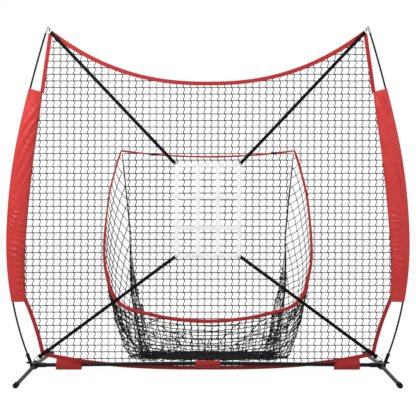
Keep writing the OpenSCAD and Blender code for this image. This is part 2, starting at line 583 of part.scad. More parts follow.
// Slide adjuster: a frame with two windows round the doubled webbing
slide_w = 27;
slide_l = 22;
slide_wall = 1.5;
module adjuster() difference() {
  translate([-slide_l / 2, strap_y - web_t - 0.1 - slide_wall, -slide_w / 2])
    cube([slide_l, 2 * (web_t + 0.1 + slide_wall) - 0.1, slide_w]);
  translate([-slide_l / 2 - 1, strap_y - web_t - 0.1, -strap_web / 2 - 0.4])
    cube([slide_l + 2, 2 * web_t + 0.2, strap_web + 0.8]);
  for (x = [-7.5, 2.5]) translate([x, strap_y - web_t - slide_wall - 1, -8]) cube([5, slide_wall + 2, 16]);
}
module strap_adjusters() color("#101011") both_sides() {
  along_line(upper_from, upper_to) translate([strap_len(upper_from, upper_to) - adjuster_at, 0, 0]) adjuster();
  along_line(lower_from, lower_to)
    translate([strap_len(lower_from, lower_to) - hook_len - adjuster_at, 0, 0]) adjuster();
}
// Snap hook, drawn along +X from the strap's fold to the hub eye, in the plane of the strap
loop_half = 8;
neck = 7;
gate_from = 18;
module upright_wire(x, len, r) { translate([x, 0, -len / 2]) cylinder(r = r, h = len); }
module at_hook() along_line(lower_from, lower_to)
  translate([strap_len(lower_from, lower_to) - hook_len, hook_y, 0]) children();
module half_ring(x, side) {
  translate([x, 0, 0]) rotate([90, 0, 0]) rotate([0, 0, side > 0 ? -90 : 90])
    rotate_extrude(angle = 180) translate([loop_half, 0]) circle(wire_r, $fn = 24);
}
hook_end = hook_len + eye_wire + wire_r + 0.4 - loop_half;
gate_r = 1.6;
barrel_r = 2;        // round end of the gate, with its pin through it
pin_r = 0.8;
ear_in = 2.1;        // the hook's ears stand from ear_in to ear_out on both sides of the gate
ear_out = 3;
gate_x = gate_from + barrel_r + gap;
gate_len = hook_end - gate_x - gate_r - gap;
module strap_hook() color("silver") at_hook() {
  upright_wire(0, 26, wire_r);
  upright_wire(neck, 26, wire_r);
  for (z = [-13, 13]) {
    translate([0, 0, z]) rod(0, wire_r, neck);
    for (x = [0, neck]) translate([x, 0, z]) sphere(wire_r);
  }
  rod(neck, 3, 5);
  half_ring(gate_from, -1);
  half_ring(hook_end, 1);
  translate([0, 0, -loop_half]) rod(gate_from, wire_r, hook_end - gate_from);
  difference() {
    translate([gate_from - 4, -ear_out, loop_half - 2.2]) cube([4 + gap + 2 * barrel_r, 2 * ear_out, 4.4]);
    translate([gate_from, -ear_in, loop_half - 3]) cube([20, 2 * ear_in, 6]);
    translate([gate_x, -5, loop_half]) rotate([-90, 0, 0]) cylinder(r = pin_r + fit, h = 10);
  }
}
// The gate turns on a pin between the two ears of the hook
module hook_gate() color("silver") at_hook() translate([gate_x, 0, loop_half]) {
  translate([0, -ear_out, 0]) rotate([-90, 0, 0]) cylinder(r = pin_r, h = 2 * ear_out);
  translate([0, 0.2 - ear_in, 0]) rotate([-90, 0, 0]) cylinder(r = barrel_r, h = 2 * ear_in - 0.4);
  rod(0, gate_r, gate_len);
  translate([gate_len, 0, 0]) sphere(gate_r);
}

at_side(-1) hub();  // hub_left
hub();  // hub_right
at_side(-1) base_bar();  // base_bar_left
base_bar();  // base_bar_right
bar_coupler();
at_side(-1) hub_lock();  // hub_button_left
hub_lock();  // hub_button_right
at_side(-1) coupler_lock();  // coupler_button_left
coupler_lock();  // coupler_button_right
at_leg(-1, 1) leg_tube();  // leg_front_left
at_leg(1, 1) leg_tube();  // leg_front_right
at_leg(-1, -1) leg_tube();  // leg_rear_left
at_leg(1, -1) leg_tube();  // leg_rear_right
at_leg(-1, 1) foot_cap();  // foot_front_left
at_leg(1, 1) foot_cap();  // foot_front_right
at_leg(-1, -1) foot_cap();  // foot_rear_left
at_leg(1, -1) foot_cap();  // foot_rear_right
pivot_bolts();
pivot_nuts();
pivot_washers();
at_side(-1) wing_screw();  // wing_screw_left
wing_screw();  // wing_screw_right
at_side(-1) pole_lower();  // pole_lower_left
pole_lower();  // pole_lower_right
at_side(-1) pole_middle();  // pole_middle_left
pole_middle();  // pole_middle_right
at_side(-1) pole_upper();  // pole_upper_left
pole_upper();  // pole_upper_right
pole_ferrules();
pole_tips();
main_net();
top_hem();
bottom_hem();
side_hems_upper();
side_hems_lower();
at_side(-1) side_sleeve();  // side_sleeve_left
side_sleeve();  // side_sleeve_right
bar_sleeves();
corner_patches();
corner_loops();
mouth_trim();
mouth_ties();
pocket_back();
at_side(-1) pocket_side();  // pocket_side_left
pocket_side();  // pocket_side_right
pocket_floor();
pocket_seams();
target_uprights();
target_crossbars();
at_side(-1) strap_upper();  // strap_upper_left
strap_upper();  // strap_upper_right
at_side(-1) strap_lower();  // strap_lower_left
strap_lower();  // strap_lower_right
strap_adjusters();
at_side(-1) strap_hook();  // strap_hook_left
strap_hook();  // strap_hook_right
at_side(-1) hook_gate();  // hook_gate_left
hook_gate();  // hook_gate_right
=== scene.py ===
"""A bow-frame pitching net: knotted netting, sewn red cloth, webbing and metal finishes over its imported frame."""
import json
import math
import random

import bmesh
import bpy
from mathutils import Matrix, Vector, noise


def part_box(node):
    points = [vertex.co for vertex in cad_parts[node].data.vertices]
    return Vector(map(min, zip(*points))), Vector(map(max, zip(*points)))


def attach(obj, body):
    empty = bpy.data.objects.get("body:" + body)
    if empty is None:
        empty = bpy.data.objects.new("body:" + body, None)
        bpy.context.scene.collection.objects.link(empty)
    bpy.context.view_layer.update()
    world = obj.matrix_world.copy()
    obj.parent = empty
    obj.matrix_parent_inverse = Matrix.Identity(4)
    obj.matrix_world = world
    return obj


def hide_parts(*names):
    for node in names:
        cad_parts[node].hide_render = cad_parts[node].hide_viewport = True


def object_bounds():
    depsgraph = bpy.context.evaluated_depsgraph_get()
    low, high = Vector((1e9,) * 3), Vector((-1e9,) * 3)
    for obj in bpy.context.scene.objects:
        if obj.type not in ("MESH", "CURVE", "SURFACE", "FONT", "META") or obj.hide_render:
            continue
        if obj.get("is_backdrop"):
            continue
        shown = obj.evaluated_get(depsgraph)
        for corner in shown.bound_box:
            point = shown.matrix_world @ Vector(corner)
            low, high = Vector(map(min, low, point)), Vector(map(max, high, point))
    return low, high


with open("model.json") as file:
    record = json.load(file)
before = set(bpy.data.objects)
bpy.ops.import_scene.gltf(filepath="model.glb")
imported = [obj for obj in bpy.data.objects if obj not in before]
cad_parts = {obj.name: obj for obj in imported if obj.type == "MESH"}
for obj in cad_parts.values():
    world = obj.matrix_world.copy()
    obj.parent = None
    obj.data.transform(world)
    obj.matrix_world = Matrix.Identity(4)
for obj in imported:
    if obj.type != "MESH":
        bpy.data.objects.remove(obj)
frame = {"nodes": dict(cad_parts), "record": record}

CAD_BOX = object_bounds()

bl_info = {
    "name": "Pitching target net",
    "version": (1, 0, 0),
    "blender": (4, 5, 0),
    "location": "View3D > Sidebar > Target net",
    "description": "Netting, sewn cloth, webbing and metal finishes of a bow-frame pitching net",
    "category": "Object",
}

BODY = "frame_and_net"
FRONT = Vector((0, -1, 0))


# ---- what a user would change ---------------------------------------------------------------

def length_setting(name, description, default, low, high):
    return bpy.props.FloatProperty(name=name, description=description, default=default, min=low, max=high,
                                   unit="LENGTH")


def colour_setting(name, description, default):
    return bpy.props.FloatVectorProperty(name=name, description=description, default=default, min=0, max=1,
                                         subtype="COLOR")


class NettingSizes(bpy.types.PropertyGroup):
    cell_width: length_setting("Cell width", "Distance between the upright cords", 0.04195, 0.03, 0.08)
    cell_height: length_setting("Cell height", "Distance between the level cords", 0.04036, 0.03, 0.08)
    cord: length_setting("Cord", "Diameter of the netting cord", 0.0048, 0.001, 0.005)
    knot: length_setting("Knot", "Diameter of a knot", 0.0098, 0.002, 0.012)
    kink: length_setting("Kink", "How far an upright cord bows aside below its knot", 0.0066, 0, 0.012)


class Colours(bpy.types.PropertyGroup):
    sleeve_red: colour_setting("Sleeve red", "Cloth of the side sleeves", (0.575, 0.032, 0.029))
    tape_red: colour_setting("Tape red", "Hems, trim and bar sleeves", (0.50, 0.026, 0.029))
    netting_black: colour_setting("Netting", "Knotted cord", (0.006, 0.006, 0.007))
    strap_black: colour_setting("Black webbing", "Diagonal straps", (0.006, 0.006, 0.0065))
    target_white: colour_setting("White webbing", "Strike zone", (0.88, 0.88, 0.88))
    leg_grey: colour_setting("Leg paint", "Paint of the legs", (0.013, 0.013, 0.018))
    bar_black: colour_setting("Bar paint", "Paint of the base bar and hubs", (0.0045, 0.0045, 0.007))


class StageSettings(bpy.types.PropertyGroup):
    sky: bpy.props.FloatProperty(
        name="Sky", description="Strength of the even light from all sides", default=0.29, min=0, max=2)
    key_power: bpy.props.FloatProperty(
        name="Key lamp", description="Power of the large lamp above the front", default=228, min=0, max=2000,
        subtype="POWER")
    lens: bpy.props.FloatProperty(
        name="Lens", description="Focal length of the camera in millimetres", default=68.85, min=20, max=200)


# ---- shader maths written as Python ------------------------------------------------------------

class Flow:
    """A number or colour that flows through a material; each sign written on it adds one Math node."""

    def __init__(self, paint, socket):
        self.paint = paint
        self.socket = socket

    def _maths(self, operation, *values):
        return self.paint.node("ShaderNodeMath", {"operation": operation}, dict(enumerate(values)))

    def __add__(self, other):
        return self._maths("ADD", self, other)

    def __sub__(self, other):
        return self._maths("SUBTRACT", self, other)

    def __rsub__(self, other):
        return self._maths("SUBTRACT", other, self)

    def __mul__(self, other):
        return self._maths("MULTIPLY", self, other)

    def __abs__(self):
        return self._maths("ABSOLUTE", self)

    def wave(self, length):
        """A sine wave of that length, from -1 to 1."""
        return self._maths("SINE", self * (2 * math.pi / length))

    def above(self, limit):
        return self._maths("GREATER_THAN", self, limit)

    def below(self, limit):
        return self._maths("LESS_THAN", self, limit)

    def most(self, other):
        return self._maths("MAXIMUM", self, other)

    def step(self, low, high):
        """0 below low, 1 above high, smooth between them."""
        return self.paint.node("ShaderNodeMapRange", {"interpolation_type": "SMOOTHSTEP"},
                               {"Value": self, "From Min": low, "From Max": high})


class Nodes:
    """A node tree that is written as Python expressions."""

    def __init__(self, tree):
        self.tree = tree
        tree.nodes.clear()

    def node(self, kind, settings=None, values=None, output=0):
        """Adds a node: its settings first, then the values or links of its sockets."""
        made = self.tree.nodes.new(kind)
        for name, value in (settings or {}).items():
            setattr(made, name, value)
        for socket, value in (values or {}).items():
            self.feed(made.inputs[socket], value)
        return Flow(self, made.outputs[output]) if len(made.outputs) else None

    def feed(self, socket, value):
        if isinstance(value, Flow):
            self.tree.links.new(value.socket, socket)
        else:
            socket.default_value = value

    def rays(self, first, *others):
        """1 for light paths of any of these kinds, else 0."""
        found = self.node("ShaderNodeLightPath", output=f"Is {first} Ray")
        for kind in others:
            found = found.most(self.node("ShaderNodeLightPath", output=f"Is {kind} Ray"))
        return found


class Paint(Nodes):
    """A material with one surface, whose pattern lies in object coordinates or in the cloth's own map."""

    def __init__(self, name, **fixed):
        self.material = bpy.data.materials.new(name)
        self.material.use_nodes = True
        super().__init__(self.material.node_tree)
        self.surface = self.tree.nodes.new("ShaderNodeBsdfPrincipled")
        self.output = self.tree.nodes.new("ShaderNodeOutputMaterial")
        self.tree.links.new(self.surface.outputs[0], self.output.inputs[0])
        for socket, value in fixed.items():
            self.surface.inputs[socket.replace("_", " ")].default_value = value

    def height(self):
        """Height above the ground in metres."""
        return self.node("ShaderNodeSeparateXYZ", {}, {0: self.place()}, "Z")

    def place(self, stretch=(1, 1, 1), turn=(0, 0, 0)):
        """Object coordinates in metres, stretched or turned."""
        return self.node("ShaderNodeMapping", {}, {
            "Vector": self.node("ShaderNodeTexCoord", output="Object"), "Scale": stretch, "Rotation": turn})

    def cloth(self):
        """Distances across and along a sewn piece, in metres, from its own map."""
        where = self.node("ShaderNodeUVMap", {"uv_map": "Cloth"})
        return (self.node("ShaderNodeSeparateXYZ", {}, {0: where}, "X"),
                self.node("ShaderNodeSeparateXYZ", {}, {0: where}, "Y"))

    def grain(self, scale, detail=2.0, roughness=0.5, stretch=(1, 1, 1), turn=(0, 0, 0)):
        return self.node("ShaderNodeTexNoise", {}, {
            "Vector": self.place(stretch, turn), "Scale": scale, "Detail": detail, "Roughness": roughness})

    def tint(self, factor, first, second):
        """first where factor is 0, second where it is 1."""
        shades = [c if isinstance(c, Flow) else (*c, 1) for c in (first, second)]
        return self.node("ShaderNodeMix", {"data_type": "RGBA"}, {0: factor, 6: shades[0], 7: shades[1]}, 2)

    def finish(self, colour, roughness=None, height=None, depth=0.0002, strength=1.0):
        """Links colour, roughness and a bump height in metres to the surface."""
        self.feed(self.surface.inputs["Base Color"], colour if isinstance(colour, Flow) else (*colour, 1))
        if roughness is not None:
            self.feed(self.surface.inputs["Roughness"], roughness)
        if height is not None:
            bump = self.node("ShaderNodeBump", {}, {"Height": height, "Distance": depth, "Strength": strength})
            self.feed(self.surface.inputs["Normal"], bump)
        return self.material


def shade(colour, times):
    return tuple(min(1, c * times) for c in colour)


def painted_steel(name, colour, worn=0.0):
    """Baked paint over steel: fine orange peel, cloudy gloss and faint rubbed places."""
    paint = Paint(name, Specular_IOR_Level=0.1)
    cloud = paint.grain(9, 3)
    rub = paint.grain(38, 6, 0.7, stretch=(1, 1, 2)).step(0.60, 0.74) * worn
    base = paint.tint(cloud, shade(colour, 0.8), shade(colour, 1.25))
    return paint.finish(paint.tint(rub, base, shade(colour, 2.6)), cloud * 0.16 + 0.34 + rub * 0.2,
                        paint.grain(420, 2), 0.00012, 0.35)


def bare_metal(name, colour, roughness):
    """Plated or bright metal with fine drawn lines and cloudy dulling."""
    paint = Paint(name, Metallic=1.0)
    dull = paint.grain(60, 4)
    lines = paint.grain(700, 2, stretch=(1, 1, 0.06))
    return paint.finish(paint.tint(dull, shade(colour, 0.82), colour), dull * 0.2 + (roughness - 0.1),
                        lines, 0.00004, 0.15)


def moulded(name, colour, roughness, gloss=0.2):
    """Moulded plastic or rubber with a fine sand-like skin."""
    paint = Paint(name, Specular_IOR_Level=gloss)
    cloud = paint.grain(22, 3)
    return paint.finish(paint.tint(cloud, shade(colour, 0.75), shade(colour, 1.3)),
                        cloud * 0.15 + (roughness - 0.07), paint.grain(650, 2), 0.0002, 0.3)


def rolled_fibreglass(name):
    """Black fibreglass rod: long streaks of fibre under a thin clear skin."""
    paint = Paint(name, Specular_IOR_Level=0.06)
    fibre = paint.grain(300, 3, stretch=(1, 1, 0.03))
    return paint.finish(paint.tint(fibre, (0.004, 0.004, 0.005), (0.016, 0.016, 0.021)), fibre * 0.18 + 0.30,
                        fibre, 0.00008, 0.3)


def knotted_cord(name, colour):
    """Twisted polyethylene cord, slightly shiny on its strands."""
    paint = Paint(name, Specular_IOR_Level=0.1)
    twist = paint.grain(900, 2, turn=(0.6, 0.5, 0.4))
    age = paint.grain(7, 3)
    return paint.finish(paint.tint(age, shade(colour, 0.7), shade(colour, 1.5)), twist * 0.2 + 0.45, twist,
                        0.0004, 0.6)


def woven_tape(name, colour, rib=0.0016, dull=0.62, stitches=(), gloss=0.2, ground=1.0, top=1.0, relief=0.0002):
    """Narrow woven webbing or binding; stitches are distances from one edge. Where ground and top differ, its colour
    is painted darker towards the ground and lighter towards the top of the net: painted shade and painted light."""
    paint = Paint(name, Specular_IOR_Level=gloss)
    across, along = paint.cloth()
    slant = (along + abs(across.wave(rib * 5)) * rib * 1.2).wave(rib)
    threads = slant * across.wave(rib * 0.8) * 0.5 + 0.5
    cloud = paint.grain(16, 3)
    base = paint.tint(cloud, shade(colour, 0.88), shade(colour, 1.12))
    # painted shade and light: the colour runs from darker at the ground to lighter at the top, as light that falls off
    # downwards
    if ground != top:
        base = paint.tint(cloud * 0.3 + paint.height() * 0.42, shade(colour, ground), shade(colour, top))
    base = paint.tint(threads * 0.35, base, shade(colour, 0.6 * ground))
    height = threads
    for place in stitches:
        row = abs(across - place).below(0.0006) * along.wave(0.0042).above(-0.35)
        base = paint.tint(row * 0.7, base, shade(colour, 1.35))
        height = height - abs(across - place).below(0.0011) * 0.8 + row * 0.8
    return paint.finish(base, cloud * 0.15 + (dull - 0.07), height, relief, 0.7)


def sewn_cloth(name, colour, wide, long):
    """Tight woven nylon: a fine grid of threads, a soft gloss on the folds, faint creases and stitched edges. Its
    colour is painted darker and more saturated towards the ground and lighter towards the top: painted shade and
    painted light.
    """
    paint = Paint(name, Sheen_Weight=0.06, Sheen_Roughness=0.35, Specular_IOR_Level=0.4)
    across, along = paint.cloth()
    threads = across.wave(0.0011) * along.wave(0.0011) * 0.5 + 0.5
    creases = paint.grain(26, 5, 0.62, stretch=(1.6, 1, 0.7), turn=(0, 0.6, 0))
    cloud = paint.grain(5, 2)
    # deep is painted shade: a darker, more saturated red for the bottom of the sleeves, blended by height into a
    # lighter red, painted light, at the top
    deep = (colour[0] * 0.79, colour[1] * 0.48, colour[2] * 0.48)
    base = paint.tint(cloud * 0.35 + paint.height().step(0.2, 1.7) * 0.65, deep, shade(colour, 1.10))
    base = paint.tint(threads * 0.22, base, shade(colour, 0.6))
    height = creases * 4.2 + threads * 0.12
    for place, run in ((across, along), (wide - across, along), (along, across), (long - along, across)):
        seam = abs(place - 0.009).below(0.0007)
        thread = seam * run.wave(0.0045).above(-0.35)
        base = paint.tint(thread * 0.55, base, shade(colour, 1.5))
        # painted shade: a darker band in the lowered groove on each side of the seam line
        base = paint.tint(abs(place - 0.009).below(0.0016) * (1 - seam) * 0.35, base, shade(colour, 0.5))
        height = height - abs(place - 0.009).below(0.0018) * 0.5 + place.below(0.009) * 0.4 + thread * 0.4
    return paint.finish(base, creases * 0.22 + 0.34, height, 0.0012, 0.55)


# ---- pieces and shapes --------------------------------------------------------------------------

def mix(a, b, t):
    return a + (b - a) * t


def steps(count):
    return [i / count for i in range(count + 1)]


def clamp(value):
    return max(0.0, min(1.0, value))


def ridge(angle):
    """A row of folds with narrow crests and wide troughs, from 0 to 1."""
    return (0.5 + 0.5 * math.cos(angle)) ** 1.7


def ease(t, steep, least):
    """1 along the middle of a stretch, falling to least at its two ends."""
    return min(1, t * steep + least, (1 - t) * steep + least)


def wobble(point, scale, seed=0.0):
    """Smooth random value from about -1 to 1 at a place."""
    return noise.noise(Vector(point) * scale + Vector((seed, seed * 1.7, -seed)))


def as_mesh(name, shape):
    mesh = bpy.data.meshes.new(name)
    shape.to_mesh(mesh)
    shape.free()
    return mesh


def add_piece(name, shape, material, slot, *replaced):
    """Puts a finished shape in the scene, on the frame's body, in place of its CAD nodes."""
    mesh = as_mesh(name, shape)
    piece = bpy.data.objects.new(name, mesh)
    bpy.context.scene.collection.objects.link(piece)
    mesh.materials.append(material)
    mesh.shade_smooth()
    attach(piece, BODY)
    if replaced:
        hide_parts(*replaced)
    return piece


def add_thickness(piece, wall):
    """Gives a sewn skin its cloth's thickness, inwards."""
    layer = piece.modifiers.new("cloth thickness", "SOLIDIFY")
    layer.thickness = wall
    layer.offset = -1


def strands(shape, lines, radius, sides=4, caps=False):
    """Adds round cords along lines of points to a bmesh."""
    curve = bpy.data.curves.new("strand", "CURVE")
    curve.dimensions = "3D"
    curve.bevel_depth = radius
    curve.bevel_resolution = max(0, sides // 2 - 2)
    curve.use_fill_caps = caps
    for line in lines:
        spline = curve.splines.new("POLY")
        spline.points.add(len(line) - 1)
        for point, place in zip(spline.points, line):
            point.co = (*place, 1)
    holder = bpy.data.objects.new("strand", curve)
    bpy.context.scene.collection.objects.link(holder)
    mesh = bpy.data.meshes.new_from_object(holder)
    shape.from_mesh(mesh)
    bpy.data.objects.remove(holder)
    bpy.data.curves.remove(curve)
    bpy.data.meshes.remove(mesh)


def knots(shape, places, size, seed=1):
    """Adds a small oblong knot at each place."""
    pick = random.Random(seed)
    beads = bmesh.new()
    form = Matrix.Diagonal((0.95, 0.75, 1.15, 1))
    for place in places:
        turn = Matrix.Rotation(pick.uniform(-0.5, 0.5), 4, "Y") @ Matrix.Rotation(pick.uniform(0, 3), 4, "Z")
        bmesh.ops.create_icosphere(beads, subdivisions=1, radius=size / 2,
                                   matrix=Matrix.Translation(place) @ turn @ form)
    mesh = as_mesh("knots", beads)
    shape.from_mesh(mesh)
    bpy.data.meshes.remove(mesh)


def add_netting(name, lines, thick, tied, knot, seed, material, node):
    """Puts a piece of netting in the scene from its lines of cord and the places of its knots."""
    shape = bmesh.new()
    strands(shape, lines, thick)
    knots(shape, tied, knot, seed)
    add_piece(name, shape, material, "black_netting", node)


def skin(shape, around, along, place, size, ends=True):
    """Adds a cloth skin whose point at (u, v), each from 0 to 1, is place(u, v), with u = 0 joined to u = 1."""
    sheet = bmesh.new()
    bmesh.ops.create_grid(sheet, x_segments=around, y_segments=along, size=0.5)
    cloth_map = sheet.loops.layers.uv.new("Cloth")
    for face in sheet.faces:
        for loop in face.loops:
            loop[cloth_map].uv = ((loop.vert.co.x + 0.5) * size[0], (loop.vert.co.y + 0.5) * size[1])
    for vert in sheet.verts:
        vert.co = place(vert.co.x + 0.5, vert.co.y + 0.5)
    bmesh.ops.remove_doubles(sheet, verts=sheet.verts, dist=1e-6)
    if ends:
        bmesh.ops.holes_fill(sheet, edges=[e for e in sheet.edges if e.is_boundary], sides=0)
    bmesh.ops.recalc_face_normals(sheet, faces=sheet.faces)
    mesh = as_mesh("skin", sheet)
    if not shape.loops.layers.uv:
        shape.loops.layers.uv.new("Cloth")
    shape.from_mesh(mesh)
    bpy.data.meshes.remove(mesh)


def lengths(path):
    """Distance of each point along the path."""
    total = [0.0]
    for a, b in zip(path, path[1:]):
        total.append(total[-1] + (b - a).length)
    return total


def along_path(path, count):
    """The path with count + 1 evenly spaced points."""
    marks = lengths(path)
    result = []
    k = 0
    for t in steps(count):
        s = t * marks[-1]
        while k < len(path) - 2 and marks[k + 1] < s:
            k += 1
        span = marks[k + 1] - marks[k]
        result.append(path[k].lerp(path[k + 1], (s - marks[k]) / span if span else 0))
    return result


def at_share(line, share):
    """The place at a share, from 0 to 1, of a line of evenly spaced points."""
    last = len(line) - 1
    i = share * last
    return line[min(int(i), last - 1)].lerp(line[min(int(i) + 1, last)], i - int(i))


def ribbon(shape, path, width, thick, flat=None, side=None, edge=0.35, around=10):
    """Adds a flat woven band along a path. flat is the way its face looks, or side the way its edge points.
    width and thick are metres, or functions of the distance along it."""
    wide = width if callable(width) else lambda s: width
    deep = thick if callable(thick) else lambda s: thick
    marks = lengths(path)
    frames = []
    for i, point in enumerate(path):
        ahead = (path[min(i + 1, len(path) - 1)] - path[max(i - 1, 0)]).normalized()
        across = side.copy() if side else flat.cross(ahead).normalized()
        frames.append((point, across, ahead.cross(across).normalized()))

    def place(u, v):
        i = round(v * (len(path) - 1))
        point, across, up = frames[i]
        angle = 2 * math.pi * u
        c, s = math.cos(angle), math.sin(angle)
        return (point + across * (math.copysign(abs(c) ** edge, c) * wide(marks[i]) / 2)
                + up * (math.copysign(abs(s) ** edge, s) * deep(marks[i]) / 2))

    skin(shape, around, len(path) - 1, place, (2 * wide(0), marks[-1]))


# ---- the bow, the outline of the net and its mouth, in metres --------------------------------------

def go_bend(station, bend, length):
    x, z, lean = station
    new = lean - length / bend
    return (x - bend * math.cos(lean) + bend * math.cos(new), z + bend * math.sin(lean) - bend * math.sin(new),
            new)


SECTIONS = ((0.768, 1.9), (0.700, 3.4), (0.623, 8.0))
POLE_BASE = (1.077, 0.044, math.radians(22.3))


def pole_at(distance):
    """Place and outward lean of the right-hand pole at a distance from its lower end."""
    station = POLE_BASE
    for length, bend in SECTIONS:
        if distance < length or (length, bend) == SECTIONS[-1]:
            return go_bend(station, bend, distance)
        station = go_bend(station, bend, length)
        distance -= length


def beside_pole(station, out):
    x, z, lean = station
    return (x + out * math.cos(lean), z - out * math.sin(lean))


SLEEVE_FROM, SLEEVE_TO = 0.390, 1.700
NET_Y = 0.017
HEM_Y = 0.015
TOP_X, TOP_Z, DIP_Z = 0.961, 2.061, 1.748
LOW_X, LOW_Z, MID_LOW_Z = 1.008, 0.097, 0.012
HEM = 0.020
BAR_MID_Z, BAR_RISE, PIVOT_X = 0.043, 0.012, 1.051


def sleeve_width(t):
    return 0.072 + 0.042 * max(0, math.sin(math.pi * t)) ** 0.75


def sleeve_edge(t):
    return beside_pole(pole_at(mix(SLEEVE_FROM, SLEEVE_TO, t)), -sleeve_width(t))


def top_z(x):
    return DIP_Z + (TOP_Z - DIP_Z) * (abs(x) / TOP_X) ** 2.32


def bottom_z(x):
    return MID_LOW_Z + (LOW_Z - MID_LOW_Z) * abs(x / LOW_X) ** 2.7


def upper_side(t):
    low = sleeve_edge(1)
    return (mix(low[0], TOP_X, t), mix(low[1], TOP_Z, t))


def lower_side(t):
    high = sleeve_edge(0)
    return (mix(LOW_X, high[0], t) - 0.04 * t * (1 - t), mix(LOW_Z, high[1], t))


def flat_points(points, y):
    return [Vector((x, y, z)) for x, z in points]


def mirrored(points):
    return [(-x, z) for x, z in points]


def net_outline():
    """The inner edge of the hems, all round."""
    half = [(x, bottom_z(x) + 0.010) for x in (LOW_X * i / 20 for i in range(20))]
    half += [(x - 0.011, z) for x, z in map(lower_side, steps(6)) if z > LOW_Z + 0.012]
    half += [sleeve_edge(t) for t in steps(20)]
    half += [(x - 0.011, z) for x, z in map(upper_side, steps(6)) if z < TOP_Z - 0.03]
    half += [(x, top_z(x) - 0.010 * math.hypot(1, 0.75 * (x / TOP_X) ** 1.32))
             for x in (TOP_X * i / 24 for i in range(23, -1, -1))]
    return half + mirrored(half)[::-1]


MOUTH_POINTS = [(0, 0.295), (0.220, 0.311), (0.370, 0.342), (0.500, 0.380), (0.578, 0.450), (0.612, 0.560),
                (0.634, 0.720), (0.608, 1.035), (0.560, 1.240), (0.528, 1.337)]
MOUTH_X, MOUTH_Z, MOUTH_SAG = 0.528, 1.337, 0.037


def curve_between(a, b, c, d, fine):
    """Evenly spaced points from b to before c, on the smooth curve that also passes a and d."""
    for t in (k / fine for k in range(fine)):
        yield 0.5 * (2 * b + (c - a) * t + (2 * a - 5 * b + 4 * c - d) * t * t + (3 * b - a - 3 * c + d) * t ** 3)


def smooth_line(points, fine):
    """A smooth curve through points, with fine steps between each two. It runs level through the first."""
    ends = [Vector(p) for p in ((-points[1][0], points[1][1]), *points, points[-1])]
    result = [tuple(p) for i in range(len(points) - 1) for p in curve_between(*ends[i:i + 4], fine)]
    return result + [points[-1]]


def closed_line(points, fine):
    """A smooth closed curve through points, its last point on the first."""
    count = len(points)
    result = []
    for i in range(count):
        result += curve_between(*(points[(i + k) % count] for k in (-1, 0, 1, 2)), fine)
    return result + [points[0].copy()]


MOUTH_SIDE = smooth_line(MOUTH_POINTS, 6)
MOUTH_U = mirrored(MOUTH_SIDE)[::-1] + MOUTH_SIDE[1:]


def mouth_top(x):
    return MOUTH_Z - MOUTH_SAG * (1 - (x / MOUTH_X) ** 2)


def mouth_outline():
    return MOUTH_U + [(x, mouth_top(x)) for x in (MOUTH_X * (1 - i / 12) for i in range(1, 24))]


def crossings(outline, axis, value):
    """Where a closed outline meets the line on which that coordinate has the value."""
    found = []
    for a, b in zip(outline, outline[1:] + outline[:1]):
        if (a[axis] - value) * (b[axis] - value) < 0:
            found.append(mix(a[1 - axis], b[1 - axis], (value - a[axis]) / (b[axis] - a[axis])))
    return sorted(found)


def spans(outline, hole, axis, value, tuck):
    """The stretches of a line inside the outline and outside the hole, each end tucked under its hem."""
    marks = sorted([(v, 0) for v in crossings(outline, axis, value)] + [(v, 1) for v in crossings(hole, axis, value)])
    inside = [False, False]
    start = None
    found = []
    for v, which in marks:
        inside[which] = not inside[which]
        now = inside[0] and not inside[1]
        if now and start is None:
            start = v
        elif not now and start is not None:
            if v - start > 0.004:
                found.append((start - tuck, v + tuck))
            start = None
    return found


KINK = ((0.13, 0.80), (0.36, 1.0), (0.74, -0.25))
LATTICE_X, LATTICE_Z = -0.9456, 2.006


def lattice_lines(inside_rows, inside_columns, sizes, place):
    """Cords and knots of square netting: place(x, z) gives the point in space of a place on the flat net."""
    lines, tied = [], []
    columns = range(-6, 52)
    rows = range(-3, 52)
    for k in rows:
        z = LATTICE_Z - sizes.cell_height * k
        for a, b in inside_rows(z):
            xs = [LATTICE_X + sizes.cell_width * i for i in columns]
            xs = [x for x in xs if a + 0.004 < x < b - 0.004]
            lines.append([place(x, z) for x in [a] + xs + [b]])
            tied += [place(x, z) for x in xs]
    for i in columns:
        x = LATTICE_X + sizes.cell_width * i
        for a, b in inside_columns(x):
            line = [place(x, b)]
            for k in rows:
                z = LATTICE_Z - sizes.cell_height * k
                if a < z < b:
                    line.append(place(x, z))
                for t, out in KINK:
                    lower = z - sizes.cell_height * t
                    if a + 0.002 < lower < b - 0.002:
                        line.append(place(x + sizes.kink * out, lower))
            lines.append(line + [place(x, a)])
    return lines, tied


def finishes():
    """The materials that several pieces share, made once."""
    return {m.name: m for m in bpy.data.materials}


EYE = Vector((0.0052, -4.843, 0.9739))      # where the camera stands


# ---- operators: one for each piece or group of like pieces --------------------------------------------

